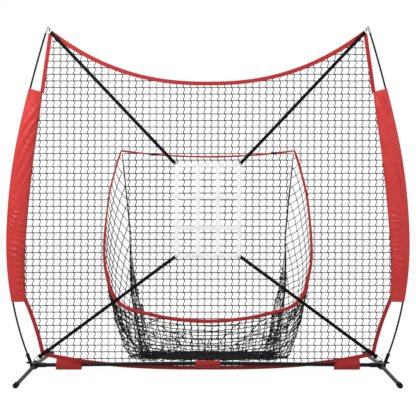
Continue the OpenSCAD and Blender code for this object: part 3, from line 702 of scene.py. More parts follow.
class NET_OT_stage(bpy.types.Operator):
    """White floor and sky, soft lamps and the camera"""
    bl_idname = "net.stage"
    bl_label = "Stage"

    def execute(self, context):
        scene = context.scene
        look = scene.stage_settings
        scene.view_settings.view_transform = "Standard"
        world = bpy.data.worlds.new("white_sky")
        scene.world = world
        world.use_nodes = True
        sky = Nodes(world.node_tree)
        lit, shown = (sky.node("ShaderNodeBackground", {}, {"Color": (1, 1, 1, 1), "Strength": strength})
                      for strength in (look.sky, 1))
        seen = sky.rays("Camera", "Glossy", "Transmission")
        sky.node("ShaderNodeOutputWorld", {}, {0: sky.node("ShaderNodeMixShader", {}, {0: seen, 1: lit, 2: shown})})

        floor_shape = bmesh.new()
        bmesh.ops.create_grid(floor_shape, x_segments=1, y_segments=1, size=30)
        floor = bpy.data.objects.new("floor", as_mesh("floor", floor_shape))
        scene.collection.objects.link(floor)
        floor.data.materials.append(self.floor_paint())
        floor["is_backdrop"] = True

        for name, place, aim, size, power in (
                ("key_lamp", (-2.0, -3.0, 4.5), (0, 0, 0.9), 3.0, look.key_power),
                ("fill_lamp", (3.4, -3.6, 2.4), (0, 0, 0.9), 3.0, look.key_power * 0.15),
                ("back_lamp", (0.6, 4.2, 3.8), (0, 0.2, 0.8), 3.0, look.key_power * 0.42)):
            lamp = bpy.data.lights.new(name, "AREA")
            lamp.shape = "DISK"
            lamp.size = size
            lamp.energy = power
            holder = bpy.data.objects.new(name, lamp)
            holder.location = place
            holder.rotation_euler = (Vector(aim) - Vector(place)).to_track_quat("-Z", "Y").to_euler()
            scene.collection.objects.link(holder)

        camera = bpy.data.cameras.new("camera")
        camera.lens = look.lens
        camera.sensor_width = 36
        camera.clip_end = 100
        holder = bpy.data.objects.new("camera", camera)
        holder.location = EYE
        yaw, pitch = math.radians(-0.051), math.radians(0.153)
        ahead = Vector((math.sin(yaw) * math.cos(pitch), math.cos(yaw) * math.cos(pitch), math.sin(pitch)))
        holder.rotation_euler = ahead.to_track_quat("-Z", "Y").to_euler()
        scene.collection.objects.link(holder)
        scene.camera = holder
        return {"FINISHED"}

    def floor_paint(self):
        """Reads as white to the eye and still takes a faint shadow."""
        paint = Paint("white_floor", Roughness=0.9, Specular_IOR_Level=0.0)
        paint.finish((0.8, 0.8, 0.8))
        glow = paint.node("ShaderNodeEmission", {}, {"Strength": 0.93})
        grey = paint.node("ShaderNodeBsdfDiffuse", {}, {"Color": (0.1, 0.1, 0.1, 1)})
        seen_floor = paint.node("ShaderNodeAddShader", {}, {0: glow, 1: grey})
        choose = paint.node("ShaderNodeMixShader", {}, {
            0: paint.rays("Camera", "Glossy"), 1: Flow(paint, paint.surface.outputs[0]), 2: seen_floor})
        paint.feed(paint.output.inputs[0], choose)
        return paint.material


class NET_OT_finishes(bpy.types.Operator):
    """Materials of the metal, plastic and rubber parts, put on the frame's own nodes"""
    bl_idname = "net.finishes"
    bl_label = "Metal and plastic finishes"

    def execute(self, context):
        colours = context.scene.net_colours
        by_slot = {
            "dark_steel": painted_steel("bar_paint", colours.bar_black, 0.5),
            "leg_steel": painted_steel("leg_paint", colours.leg_grey, 0.35),
            "foot_rubber": moulded("foot_rubber", (0.009, 0.009, 0.010), 0.62, gloss=0.08),
            "plated_steel": bare_metal("zinc_plate", (0.44, 0.45, 0.47), 0.32),
            "nylon": moulded("nylon", (0.55, 0.55, 0.52), 0.45),
            "black_plastic": moulded("buckle_plastic", (0.006, 0.006, 0.0065), 0.45, gloss=0.1),
            "fibreglass": rolled_fibreglass("fibreglass"),
            "bright_metal": bare_metal("nickel_plate", (0.42, 0.42, 0.46), 0.4),
        }
        lacquer = painted_steel("hook_lacquer", (0.010, 0.010, 0.011), 0.4)
        own = {f"{part}_{side}": lacquer for part in ("strap_hook", "hook_gate") for side in ("left", "right")}
        slots = {entry["node"]: entry["material_slot"] for entry in frame["record"]["subparts"]}
        for name, node in frame["nodes"].items():
            material = own.get(name, by_slot.get(slots.get(name)))
            if material is None:
                continue
            if not node.data.materials:
                node.data.materials.append(material)
            for place in node.material_slots:
                place.material = material
        return {"FINISHED"}


class NET_OT_main_netting(bpy.types.Operator):
    """The main net: square knotted mesh inside the hems, open at the mouth"""
    bl_idname = "net.main_netting"
    bl_label = "Main netting"

    def execute(self, context):
        sizes = context.scene.netting_sizes
        outline, mouth = net_outline(), mouth_outline()

        def place(x, z):
            return Vector((x + 0.0007 * wobble((x, 0, z), 23, 1), NET_Y + 0.0012 * wobble((x, 0, z), 3, 2),
                           z + 0.0007 * wobble((x, 0, z), 23, 3)))

        lines, tied = lattice_lines(lambda z: spans(outline, mouth, 1, z, 0.004),
                                    lambda x: spans(outline, mouth, 0, x, 0.004), sizes, place)
        material = knotted_cord("knotted_cord", context.scene.net_colours.netting_black)
        add_netting("main_netting", lines, sizes.cord / 2, tied, sizes.knot, 3, material, "main_net")
        return {"FINISHED"}


POCKET_Y = 0.0192
DEPTH = 0.474
SEAM_LOW = Vector((0.437, POCKET_Y + DEPTH, 0.017))
SEAM_TOP = Vector((0.524, POCKET_Y, 1.323))
LOWEST, HINDMOST = 0.0062, 0.493      # centres of the pocket's lowest and rearmost strands


def seam(t, side=1):
    """A point of the back corner, which bows outwards where the netting is gathered."""
    point = SEAM_LOW.lerp(SEAM_TOP, t)
    return Vector((side * (point.x + 0.032 * math.sin(math.pi * clamp(t / 0.64)) ** 1.5), point.y, point.z))


def seam_at(z):
    return seam((z - SEAM_LOW.z) / (SEAM_TOP.z - SEAM_LOW.z))


def kept_inside(point):
    """The point, moved above the lowest and in front of the rearmost strands if it isn't there."""
    return Vector((point.x, min(HINDMOST, point.y), max(LOWEST, point.z)))


class NET_OT_pocket_netting(bpy.types.Operator):
    """The ball pocket: back panel, side panels, hanging floor, gathered seams and netting heaped on the ground"""
    bl_idname = "net.pocket_netting"
    bl_label = "Pocket netting"

    def execute(self, context):
        sizes = context.scene.netting_sizes
        material = finishes()["knotted_cord"]
        self.back(sizes, material)
        for side, name, falls in ((-1, "left", (1.5, 1.0)), (1, "right", (1.0, 0.55))):
            self.side_panel(sizes, material, side, name, falls)
        self.floor(sizes, material)
        self.seams(sizes, material)
        return {"FINISHED"}

    def back(self, sizes, material):
        """The back panel hangs from the mouth's top edge to the ground behind it. Its cords lie on the lines of
        sight through the main net's from EYE, so that the two nets fall together in the front view."""
        run = SEAM_TOP - SEAM_LOW
        across = Vector((0, -run.z, run.y))

        def on_panel(x, z):
            ray = Vector((x, NET_Y, z)) - EYE
            level = Vector((0, SEAM_LOW.y, SEAM_LOW.z))
            return EYE + ray * ((level - EYE).dot(across) / ray.dot(across))

        def net_place(x, z):
            """The place on the flat net in front of a point of the panel, on the line of sight."""
            t = (z - SEAM_LOW.z) / run.z
            y = SEAM_LOW.y + run.y * t
            share = (NET_Y - EYE.y) / (y - EYE.y)
            return EYE.x + (x - EYE.x) * share, EYE.z + (z - EYE.z) * share

        heights = [0.02 + 1.25 * t for t in steps(12)]
        border = [net_place(seam_at(z).x, z) for z in heights]
        border += [(x, mouth_top(x) - 0.003) for x in (0.522 * (1 - i / 10) for i in range(21))]
        border += [net_place(-seam_at(z).x, z) for z in heights[::-1]]

        def place(x, z):
            point = on_panel(x, z)
            low = max(0.0, 1 - point.z / 0.5)
            point.y += 0.004 * wobble((x, 0, z), 4, 5) - 0.006 * math.sin(math.pi * min(1, point.z / 1.3))
            point.x += 0.001 * wobble((x, 0, z), 21, 6) + low * 0.006 * wobble((x, 0, z), 9, 7)
            point.z += 0.001 * wobble((x, 0, z), 21, 8) + low * 0.006 * wobble((x, 0, z), 9, 9)
            point.z = max(point.z, 0.005)
            return point

        lines, tied = lattice_lines(lambda z: spans(border, [], 1, z, 0.0),
                                    lambda x: spans(border, [], 0, x, 0.0), sizes, place)
        add_netting("pocket_back_netting", lines, sizes.cord * 0.57, tied, sizes.knot, 5, material, "pocket_back")

    def side_panel(self, sizes, material, side, name, falls):
        """Rows leave the mouth's side and fall back to the seam; columns keep their distance from the mouth's
        side and end at the seam. falls are the slopes of the top and bottom rows, seen from the side."""
        rim = [p for p in MOUTH_SIDE if p[1] > 0.36][::-1]
        rim_line = along_path(flat_points(rim, 0), 200)
        marks = lengths(rim_line)
        taper = DEPTH / (SEAM_TOP.z - SEAM_LOW.z)

        def row_ends(s):
            """The two ends of the row that leaves the rim at that distance from the top corner."""
            start = at_share(rim_line, clamp(s / marks[-1]))
            slope = mix(falls[0], falls[1], clamp(s / marks[-1] * 1.4))
            back = taper * (SEAM_TOP.z - start.z) / (1 - slope * taper)
            low = max(start.z - slope * back, 0.03 + 0.02 * wobble((s, 0, 0), 9))
            return Vector((start.x, POCKET_Y, start.z)), seam_at(low)

        def panel(s, t):
            """s is the distance down the mouth's side, t goes from the mouth to the seam."""
            start, end = row_ends(s)
            bow = math.sin(math.pi * clamp(t)) * (end.y - start.y)
            x = mix(start.x, end.x, t ** 1.15) + 0.06 * bow
            y = mix(start.y, end.y, t)
            z = mix(start.z, end.z, t ** 0.86) - 0.03 * bow
            rough = 0.003 + 0.010 * clamp((0.8 - z) / 0.8) * math.sin(math.pi * clamp(t)) ** 0.5
            x += rough * wobble((x, y, z), 11, 11 + side)
            z += rough * wobble((x, y, z), 11, 13 + side)
            return Vector((side * x, y, max(z, LOWEST)))

        def share(s, column):
            """How far along its row a column crosses it, more than 1 beyond the seam."""
            start, end = row_ends(s)
            gap = sizes.cell_width * mix(1.0, 1.3, clamp(s / marks[-1]))
            return column * gap / max(math.hypot(start.x - end.x, start.y - end.y), 1e-4)

        lines, tied = [], []
        rows = int(marks[-1] / sizes.cell_height)
        step = marks[-1] / rows
        for r in range(1, rows):
            lines.append([panel(r * step, t) for t in steps(18)])
        for column in range(1, 14):
            line = []
            for r in range(1, rows):
                for place, out in ((0, 0),) + KINK[:2]:
                    s = (r + place) * step
                    t = share(s, column)
                    if t > 0.99:
                        continue
                    point = panel(s, t)
                    if out:
                        point += Vector((0.5, 0.6, 0)) * (sizes.kink * out)
                    else:
                        tied.append(point)
                    line.append(point)
            if len(line) > 2:
                lines.append(line)
        add_netting(f"pocket_side_{name}_netting", lines, sizes.cord / 2, tied, sizes.knot, 7, material,
                    f"pocket_side_{name}")

    def floor(self, sizes, material):
        """From the U of the mouth the netting drops to the ground and lies in a heap along the back edge."""
        pick = random.Random(11)
        rim = [p for p in MOUTH_SIDE if p[1] < 0.62]
        rim = mirrored(rim)[::-1] + rim[1:]
        line = along_path(flat_points(rim, POCKET_Y), 200)
        columns = int(lengths(line)[-1] / sizes.cell_width)
        rows = 20
        touch = 0.62                                    # share of a column above the ground

        def sack(u, t):
            """u goes along the U of the mouth, t from the mouth down to the ground and back along it."""
            start = at_share(line, clamp(u))
            share = abs(start.x) / 0.62
            landing = Vector((start.x * 0.835, mix(0.300, 0.375, share ** 2), 0.006))
            if t < touch:
                q = t / touch
                swell = math.copysign(0.010 * share * math.sin(math.pi * q), start.x)
                point = Vector((mix(start.x, landing.x, q ** 1.3) + swell, mix(start.y, landing.y, q),
                                landing.z + (start.z - landing.z) * (1 - q) ** mix(1.5, 1.1, share)))
            else:
                q = (t - touch) / (1 - touch)
                point = Vector((mix(landing.x, start.x * 0.70, q), mix(landing.y, POCKET_Y + DEPTH - 0.015, q),
                                0.008 + 0.012 * q * (1 + wobble((start.x * 3, q, 0), 5, 24))))
            rough = 0.005 + 0.012 * t + 0.018 * clamp((t - 0.55) * 5)
            point += Vector((rough * wobble(point, 12, 21), rough * wobble(point, 12, 22),
                             rough * 0.8 * wobble(point, 12, 23)))
            return kept_inside(point)

        lines, tied = [], []
        for r in range(1, rows + 1):
            lines.append([sack(c / (2 * columns), r / rows) for c in range(2 * columns + 1)])
        for c in range(1, columns):
            u = c / columns
            column = []
            for r in range(rows + 1):
                point = sack(u, r / rows)
                column.append(point)
                if r:
                    tied.append(point)
                if r < rows:
                    bend = sack(u, (r + 0.4) / rows)
                    bend.x += sizes.kink * 0.8
                    column.append(bend)
            lines.append(column)
        heap = []
        for i in range(120):
            y = pick.uniform(0.31, 0.480)
            a, b = pick.uniform(-0.44, 0.1), pick.uniform(0.0, 0.42)
            if b - a < 0.1:
                a, b = b - 0.25, a + 0.25
            seed = pick.uniform(0, 50)
            high = pick.uniform(0.006, mix(0.014, 0.036, (y - 0.31) / 0.17))
            heap.append([kept_inside(Vector((mix(a, b, t), y + 0.022 * wobble((t * 3, 0, 0), 2.2, seed),
                                             high + 0.010 * wobble((t * 7, 1, 0), 3, seed))))
                         for t in steps(int((b - a) / 0.022) + 2)])
        for i in range(380):
            x, y = pick.uniform(-0.45, 0.44), mix(0.262, 0.485, pick.uniform(0, 1) ** 0.8)
            seed = pick.uniform(0, 50)
            turn = pick.uniform(0, math.pi)
            long = pick.uniform(0.03, 0.08)
            high = mix(0.008, 0.027, clamp((y - 0.28) / 0.20))
            heap.append([kept_inside(Vector((x + math.cos(turn) * long * (t - 0.5) + 0.01 * wobble((t, 0, 0), 3, seed),
                                             y + math.sin(turn) * long * (t - 0.5),
                                             high + 0.018 * wobble((t, 2, 0), 2.5, seed)))) for t in steps(5)])
        slack = []
        for i in range(68):
            u, v = pick.uniform(0.06, 0.94), pick.uniform(0.03, 0.45)
            across, down = pick.uniform(-0.10, 0.10), pick.uniform(0.05, 0.20)
            seed = pick.uniform(0, 50)
            loop = []
            for t in steps(9):
                point = sack(clamp(u + across * t + 0.03 * wobble((t, 0, 0), 2.3, seed)), min(1, v + down * t))
                point.z += 0.012 * wobble((t, 4, 0), 2.6, seed)
                loop.append(kept_inside(point))
            slack.append(loop)
        tied += [strand[len(strand) // 2] for strand in heap] + [loop[i] for loop in slack for i in (2, 6)]
        add_netting("pocket_floor_netting", lines + heap + slack, sizes.cord / 2, tied, sizes.knot, 9, material,
                    "pocket_floor")

    def seams(self, sizes, material):
        """A laced cord along each back corner, with the spare netting gathered beside it towards the ground."""
        pick = random.Random(17)
        shape = bmesh.new()
        laced, gathered = [], []
        for side in (-1, 1):
            for strand in range(4):
                phase = strand * math.pi / 2
                path = []
                for t in steps(90):
                    centre = seam(0.995 - 0.985 * t, side)
                    size = mix(0.0018, 0.0044, clamp(t * 2.2)) * (1 + 0.7 * wobble((t * 9, side, 0), 2.0, 27))
                    path.append(centre + Vector((math.cos(phase + 46 * t), math.sin(phase + 46 * t) * 0.6, 0)) * size)
                laced.append(path)
            for strand in range(10):
                seed = pick.uniform(0, 60)
                reach = pick.uniform(-0.08, 1.0)
                start = pick.uniform(0.36, 0.57)
                path = []
                for t in steps(30):
                    low = max(0, (t - 0.55) / 0.45)
                    centre = seam(mix(start, 0.002, t), side)
                    width = mix(0.060, 0.072, low) * min(1, t * 1.8 + (0.57 - start) * 2)
                    swing = 0.008 * wobble((t * 6, 0, 0), 1.7, seed)
                    path.append(centre + Vector((-side * (width * (reach - 0.45 * low) + swing),
                                                 -0.014 * (1 + wobble((t * 6, 3, 0), 1.3, seed)) * min(1, t * 3),
                                                 0.006 * wobble((t * 8, 5, 0), 1.9, seed))))
                gathered.append([kept_inside(p) for p in path])
            for strand in range(64):
                t = pick.uniform(0.0, 0.52) ** 1.15
                centre = seam(mix(0.002, 0.97, t), side)
                width = 0.062 * min(1, (0.56 - t) * 3.2)
                near = -0.35 * max(0, 1 - t / 0.25)
                seed = pick.uniform(0, 60)
                path = [centre + Vector((-side * width * (q + near), -0.016 * wobble((q, 0, 0), 2, seed) - 0.008,
                                         0.03 * wobble((q, 1, 0), 1.6, seed))) for q in steps(6)]
                gathered.append([kept_inside(p) for p in path])
        strands(shape, laced, 0.0017)
        strands(shape, gathered, sizes.cord * 0.38)
        knots(shape, [line[i] for line in gathered for i in range(2, len(line), 4)], sizes.knot, 19)
        add_piece("seam_lacing", shape, material, "black_netting", "pocket_seams")


class NET_OT_hems(bpy.types.Operator):
    """The red tape folded over the net's top, bottom and free side edges"""
    bl_idname = "net.hems"
    bl_label = "Hems"

    def execute(self, context):
        # ground and top here paint shade on the lower hems and light on the top hem
        tape = woven_tape("red_tape", context.scene.net_colours.tape_red, 0.0012, 0.55,
                          (0.0035, 0.0165, 0.0235, 0.0365), ground=0.64, top=0.95)
        top = [(x, top_z(x)) for x in (TOP_X * (i / 60 - 1) for i in range(121))]
        bottom = [(x, bottom_z(x)) for x in (LOW_X * (i / 60 - 1) for i in range(121))]
        self.tape("top_hem_tape", [top], tape, "top_hem", 1.0)
        self.tape("bottom_hem_tape", [bottom], tape, "bottom_hem")
        upper = [upper_side(mix(-0.012, 0.97, t)) for t in steps(24)]
        lower = [lower_side(mix(0.0, 1.04, t)) for t in steps(24)]
        self.tape("upper_side_hem_tape", [upper, mirrored(upper)], tape, "side_hems_upper")
        self.tape("lower_side_hem_tape", [lower, mirrored(lower)], tape, "side_hems_lower")
        return {"FINISHED"}

    def tape(self, name, lines, material, node, flare=0.0):
        shape = bmesh.new()
        for number, line in enumerate(lines):
            path = flat_points(line, NET_Y)
            fine = along_path(path, max(30, int(lengths(path)[-1] / 0.012)))
            middle = lengths(fine)[-1] / 2
            ribbon(shape, fine, lambda s: HEM * (1.20 + 0.18 * (flare * (s / middle - 1)) ** 2
                                                 + 0.05 * wobble((s, number, 0), 9, 31)),
                   lambda s: 0.0042 * (1 + 0.22 * wobble((s, number, 0), 45, 32)), flat=FRONT, edge=0.5, around=16)
        add_piece(name, shape, material, "red_fabric", node)


class NET_OT_side_sleeves(bpy.types.Operator):
    """The wide cloth sleeves round the poles, drawn in to a seam on the net's edge"""
    bl_idname = "net.side_sleeves"
    bl_label = "Side sleeves"

    def execute(self, context):
        size = (0.262, SLEEVE_TO - SLEEVE_FROM)
        cloth = sewn_cloth("sleeve_cloth", context.scene.net_colours.sleeve_red, *size)
        for side, name in ((-1, "left"), (1, "right")):
            shape = bmesh.new()
            skin(shape, 72, 220, self.surface(side), size, ends=False)
            piece = add_piece(f"side_sleeve_{name}_cloth", shape, cloth, "red_fabric", f"side_sleeve_{name}")
            add_thickness(piece, 0.0006)
        return {"FINISHED"}

    def surface(self, side):
        wrap = 0.0089                   # radius at which the cloth lies round the pole
        lean_share = 0.42               # share of the cloth's girth in each flat layer
        across_fold, along_fold, pitch, deep = ((0.93, 0.30, 0.0060, 0.0070) if side < 0
                                                else (0.98, 0.16, 0.0072, 0.0150))

        def place(u, t):
            # u runs from the seam over the front layer, round the pole and back over the rear layer
            width = sleeve_width(t)
            reach = mix(SLEEVE_FROM, SLEEVE_TO, t)
            if u < lean_share or u > 1 - lean_share:
                front = u < lean_share
                q = (u if front else 1 - u) / lean_share       # 0 at the seam, 1 at the pole
                way = -1 if front else 1
                out = mix(-width, -0.17 * wrap, q)
                back = mix(NET_Y + way * 0.0022, way * 0.985 * wrap, q ** 0.9)
            else:
                angle = mix(-1.745, 1.745, (u - lean_share) / (1 - 2 * lean_share))
                way = 0
                out, back = wrap * math.cos(angle), wrap * math.sin(angle)
            inner = (wrap - out) / (width + wrap)          # 1 at the seam, 0 outside the pole
            reach -= 0.016 * inner * max(0, 1 - t / 0.12)
            x, z = beside_pole(pole_at(reach), out)
            if way:
                slack = math.sin(math.pi * min(1, q * 1.02)) ** 0.7 * ease(t, 14, 0.25)
                swell = math.sin(math.pi * min(1, q ** 0.72)) * ease(t, 6, 0.3)
                drawn = clamp((t - 0.30) / 0.25)  # long slanting folds above, short level creases below
                slant = ((out * across_fold + reach * along_fold) / pitch
                         + 2.6 * wobble((out * 2, way, reach), 3.1, 41 + side))
                level = ((reach * 0.97 + out * 0.55 * side) / 0.0056
                         + 5.0 * wobble((out * 1.6, way, reach), 10, 47 + side))
                fold = drawn * ridge(slant) * clamp(0.62 + 1.3 * wobble((out * 3, way, reach), 3.7, 43 + side))
                crease = ((1 - 0.8 * drawn) * ridge(level)
                          * clamp(0.50 + 1.6 * wobble((out * 3, way, reach), 7, 45 + side)))
                back += way * (0.0135 * swell + slack * (deep * fold + 0.0090 * crease))
            return Vector((side * x, back, z))

        return place


class NET_OT_bar_sleeves(bpy.types.Operator):
    """Three short cloth sleeves that hold the bottom hem to the base bar"""
    bl_idname = "net.bar_sleeves"
    bl_label = "Bar sleeves"

    def execute(self, context):
        shape = bmesh.new()
        girth, long = 0.152, 0.155
        # ground and top here paint shade and light into the cloth by its height
        cloth = woven_tape("bar_sleeve_cloth", context.scene.net_colours.tape_red, 0.0012, 0.58,
                           (0.006, 0.030, 0.060, girth - 0.030, girth - 0.006), ground=0.66, top=0.9)
        for number, middle in enumerate((-0.846, 0.0, 0.846)):
            skin(shape, 72, 40, self.wrap(middle, long, number), (girth, long), ends=False)
        add_thickness(add_piece("bar_sleeve_cloth", shape, cloth, "red_fabric", "bar_sleeves"), 0.0008)
        return {"FINISHED"}

    def wrap(self, middle, long, number):
        """A loop of cloth from the hem, round the bar and back to the hem, which runs above the bar
        at the sides and below it in the middle."""
        bar_z = BAR_MID_Z - BAR_RISE * abs(middle) / PIVOT_X
        if middle:
            high = 0.021 if middle < 0 else 0.030
            outline = ((0.0148, high), (-0.002, high - 0.011), (-0.0122, 0.008), (-0.0142, -0.003),
                       (-0.0130, -0.015), (-0.0075, -0.0255), (0.001, -0.0280), (0.0092, -0.0235),
                       (0.0135, -0.011), (0.0142, 0.002), (0.0168, high - 0.013), (0.0192, high))
        else:
            outline = ((0.0148, -0.034), (0.005, -0.0275), (-0.0070, -0.0185), (-0.0132, -0.007), (-0.0135, 0.004),
                       (-0.0085, 0.0125), (0.0, 0.0155), (0.0085, 0.0125), (0.0135, 0.004), (0.0152, -0.008),
                       (0.0180, -0.022), (0.0192, -0.034))
        loop = along_path(closed_line([Vector((0, y, bar_z + z)) for y, z in outline], 8), 72)

        def place(u, v):
            point = loop[round(u * 72)]
            x = middle + (v - 0.5) * long + 0.0022 * wobble((middle, point.z, u), 14, 50 + number) * (2 * v - 1)
            way = Vector((0, point.y, point.z - bar_z)).normalized()
            loose = 0.0011 * (1 + wobble((x * 1.5, point.y, point.z), 26, 51 + number))
            sewn = clamp((point.z - bar_z - 0.006) / 0.012) if middle else 0  # the top edge follows the hem
            rise = sewn * (bottom_z(x) - bottom_z(middle))
            return Vector((x, point.y, max(0.004, point.z) + rise)) + way * loose

        return place


class NET_OT_mouth_trim(bpy.types.Operator):
    """Red tape bound over the edge of the mouth, wide at the bottom and thin along the top, and two small ties"""
    bl_idname = "net.mouth_trim"
    bl_label = "Mouth trim"

    def execute(self, context):
        tape = finishes()["red_tape"]
        shape = bmesh.new()
        fine = along_path(flat_points(MOUTH_U, NET_Y), 260)
        places = dict(zip(lengths(fine), fine))

        def width(s):
            x, _, z = places[s]
            twist = 1 + 0.16 * wobble((s, 0, 0), 7, 61)
            high = clamp((z - 0.80) / 0.15) * (0.0055 if x < 0 else 0.001)
            return (0.0155 + 0.0065 * clamp((0.66 - z) / 0.10) - high) * twist

        ribbon(shape, fine, width, lambda s: 0.0042 * (1 + 0.2 * wobble((s, 0, 0), 40, 62)), flat=FRONT,
               edge=0.6, around=14)
        lid = [(x, mouth_top(x)) for x in (MOUTH_X * (i / 30 - 1) for i in range(61))]
        lid = along_path(flat_points(lid, NET_Y), 120)
        ribbon(shape, lid, lambda s: 0.0108 * (1 + 0.34 * wobble((s, 0, 0), 11, 63)),
               lambda s: 0.0040 * (1 + 0.2 * wobble((s, 0, 0), 33, 64)), flat=FRONT, edge=0.7, around=12)
        add_piece("mouth_trim_tape", shape, tape, "red_fabric", "mouth_trim")

        ties = bmesh.new()
        for x in (-0.332, 0.405):
            centre = Vector((x, NET_Y, mouth_top(x)))
            coil = [centre + Vector((0.036 * (t - 0.5), -0.0048 * math.cos(75 * t), 0.0066 * math.sin(75 * t)))
                    for t in steps(168)]
            tails = [[centre + Vector((0.002 + s * 0.010 * t, -0.006 - 0.002 * t,
                                       -0.003 - 0.014 * t * t + 0.004 * t)) for t in steps(5)] for s in (-1, 1)]
            strands(ties, [coil] + tails, 0.0013, 6, True)
        add_piece("mouth_tie_cords", ties, finishes()["knotted_cord"], "black_webbing", "mouth_ties")
        return {"FINISHED"}


class NET_OT_corners(bpy.types.Operator):
    """Black webbing patches at the four corners and the elastic loops that hang on the pole tips"""
    bl_idname = "net.corners"
    bl_label = "Corner patches and loops"

    def execute(self, context):
        webbing = woven_tape("diagonal_webbing", context.scene.net_colours.strap_black, 0.0018, 0.5,
                             WEBBING_STITCHES, 0.04, relief=0.00007)
        shape = bmesh.new()
        for side in (-1, 1):
            for corner, towards in (((TOP_X, TOP_Z), (TARGET_X, TARGET_ROWS[-1])),
                                    ((LOW_X, LOW_Z), (TARGET_X, TARGET_ROWS[0]))):
                end, aim = (Vector((side * x, HEM_Y - 0.0008, z)) for x, z in (corner, towards))
                way = aim - end
                path = along_path([end, end + way.normalized() * 0.032], 8)
                ribbon(shape, path, 0.0215, 0.0018, side=way.cross(FRONT).normalized())
        add_piece("corner_patch_webbing", shape, webbing, "black_webbing", "corner_patches")
        loops = bmesh.new()
        low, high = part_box("corner_loops")
        for side in (-1, 1):
            middle = Vector((side * (high.x - 0.0019), (low.y + high.y) / 2, (low.z + high.z) / 2))
            strands(loops, [self.twisted(middle, phase) for phase in (0, math.pi)], 0.0010, 6)
        add_piece("corner_loop_cord", loops, finishes()["knotted_cord"], "black_webbing", "corner_loops")
        return {"FINISHED"}

    def twisted(self, middle, phase):
        """One of the two strands that wind round each other in a loop."""
        path = []
        for a in (2 * math.pi * i / 72 for i in range(73)):
            radius = 0.009 + 0.0009 * math.sin(phase + 9 * a)
            path.append(middle + Vector((0.0009 * math.cos(phase + 9 * a), math.cos(a) * radius,
                                         math.sin(a) * radius)))
        return path


TARGET_X = 0.201
TARGET_ROWS = (0.697, 0.865, 1.050, 1.249)
WHITE_WEB = 0.021
WEB = 0.0015
WEBBING_STITCHES = (0.002, 0.019, 0.023, 0.040)
UPRIGHT_Y, CROSSBAR_Y, STRAP_Y = 0.0089, 0.0104, 0.0119


class NET_OT_target(bpy.types.Operator):
    """The strike zone: four white uprights and four white crossbars, sewn where they meet"""
    bl_idname = "net.target"
    bl_label = "Strike zone"

    def execute(self, context):
        webbing = woven_tape("white_webbing", context.scene.net_colours.target_white, 0.0018, 0.6,
                             WEBBING_STITCHES)
        low, high = TARGET_ROWS[0] - WHITE_WEB / 2, TARGET_ROWS[-1] + WHITE_WEB / 2
        columns = (-TARGET_X + WHITE_WEB / 2, -0.061, 0.061, TARGET_X - WHITE_WEB / 2)
        uprights, crossbars = bmesh.new(), bmesh.new()
        for x in columns:
            path = [Vector((x + 0.0012 * wobble((x, 0, z), 6, 71),
                            UPRIGHT_Y + WEB / 2 + 0.0004 * wobble((x, 0, z), 30, 72), z))
                    for z in (mix(low, high, t) for t in steps(80))]
            ribbon(uprights, path, WHITE_WEB, WEB, flat=FRONT)
        for z in TARGET_ROWS:
            path = [Vector((x, CROSSBAR_Y + WEB / 2 + 0.0003 * wobble((x, 0, z), 30, 73),
                            z + 0.0014 * wobble((x, 0, z), 6, 74)))
                    for x in (mix(-TARGET_X, TARGET_X, t) for t in steps(60))]
            ribbon(crossbars, path, WHITE_WEB, WEB, flat=FRONT)
        add_piece("target_upright_webbing", uprights, webbing, "white_webbing", "target_uprights")
        add_piece("target_crossbar_webbing", crossbars, webbing, "white_webbing", "target_crossbars")
        thread = moulded("sewing_thread", (0.7, 0.7, 0.7), 0.6)
        sewing = bmesh.new()
        lines = []
        for x in columns:
            for z in TARGET_ROWS:
                lines += box_stitch(Vector((x, UPRIGHT_Y - 0.0002, z)), Vector((1, 0, 0)), Vector((0, 0, 1)), 0.0075)
        strands(sewing, lines, 0.00035)
        add_piece("target_stitches", sewing, thread, "white_webbing")
        return {"FINISHED"}


def box_stitch(centre, right, up, half):
    """Short stitches round a box and along both of its diagonals."""
    pitch = 0.003
    corners = [centre + right * (half * a) + up * (half * b) for a, b in ((-1, -1), (1, -1), (1, 1), (-1, 1))]
    runs = [(corners[i], corners[(i + 1) % 4]) for i in range(4)]
    runs += [(corners[0], corners[2]), (corners[1], corners[3])]
    lines = []
    for a, b in runs:
        count = max(2, round((b - a).length / pitch))
        lines += [[a.lerp(b, (i + 0.12) / count), a.lerp(b, (i + 0.80) / count)] for i in range(count)]
    return lines


EYE_X, EYE_TOP = 1.056, 0.058
HOOK_LEN = 0.044
HOOK_Y = STRAP_Y + WEB / 2


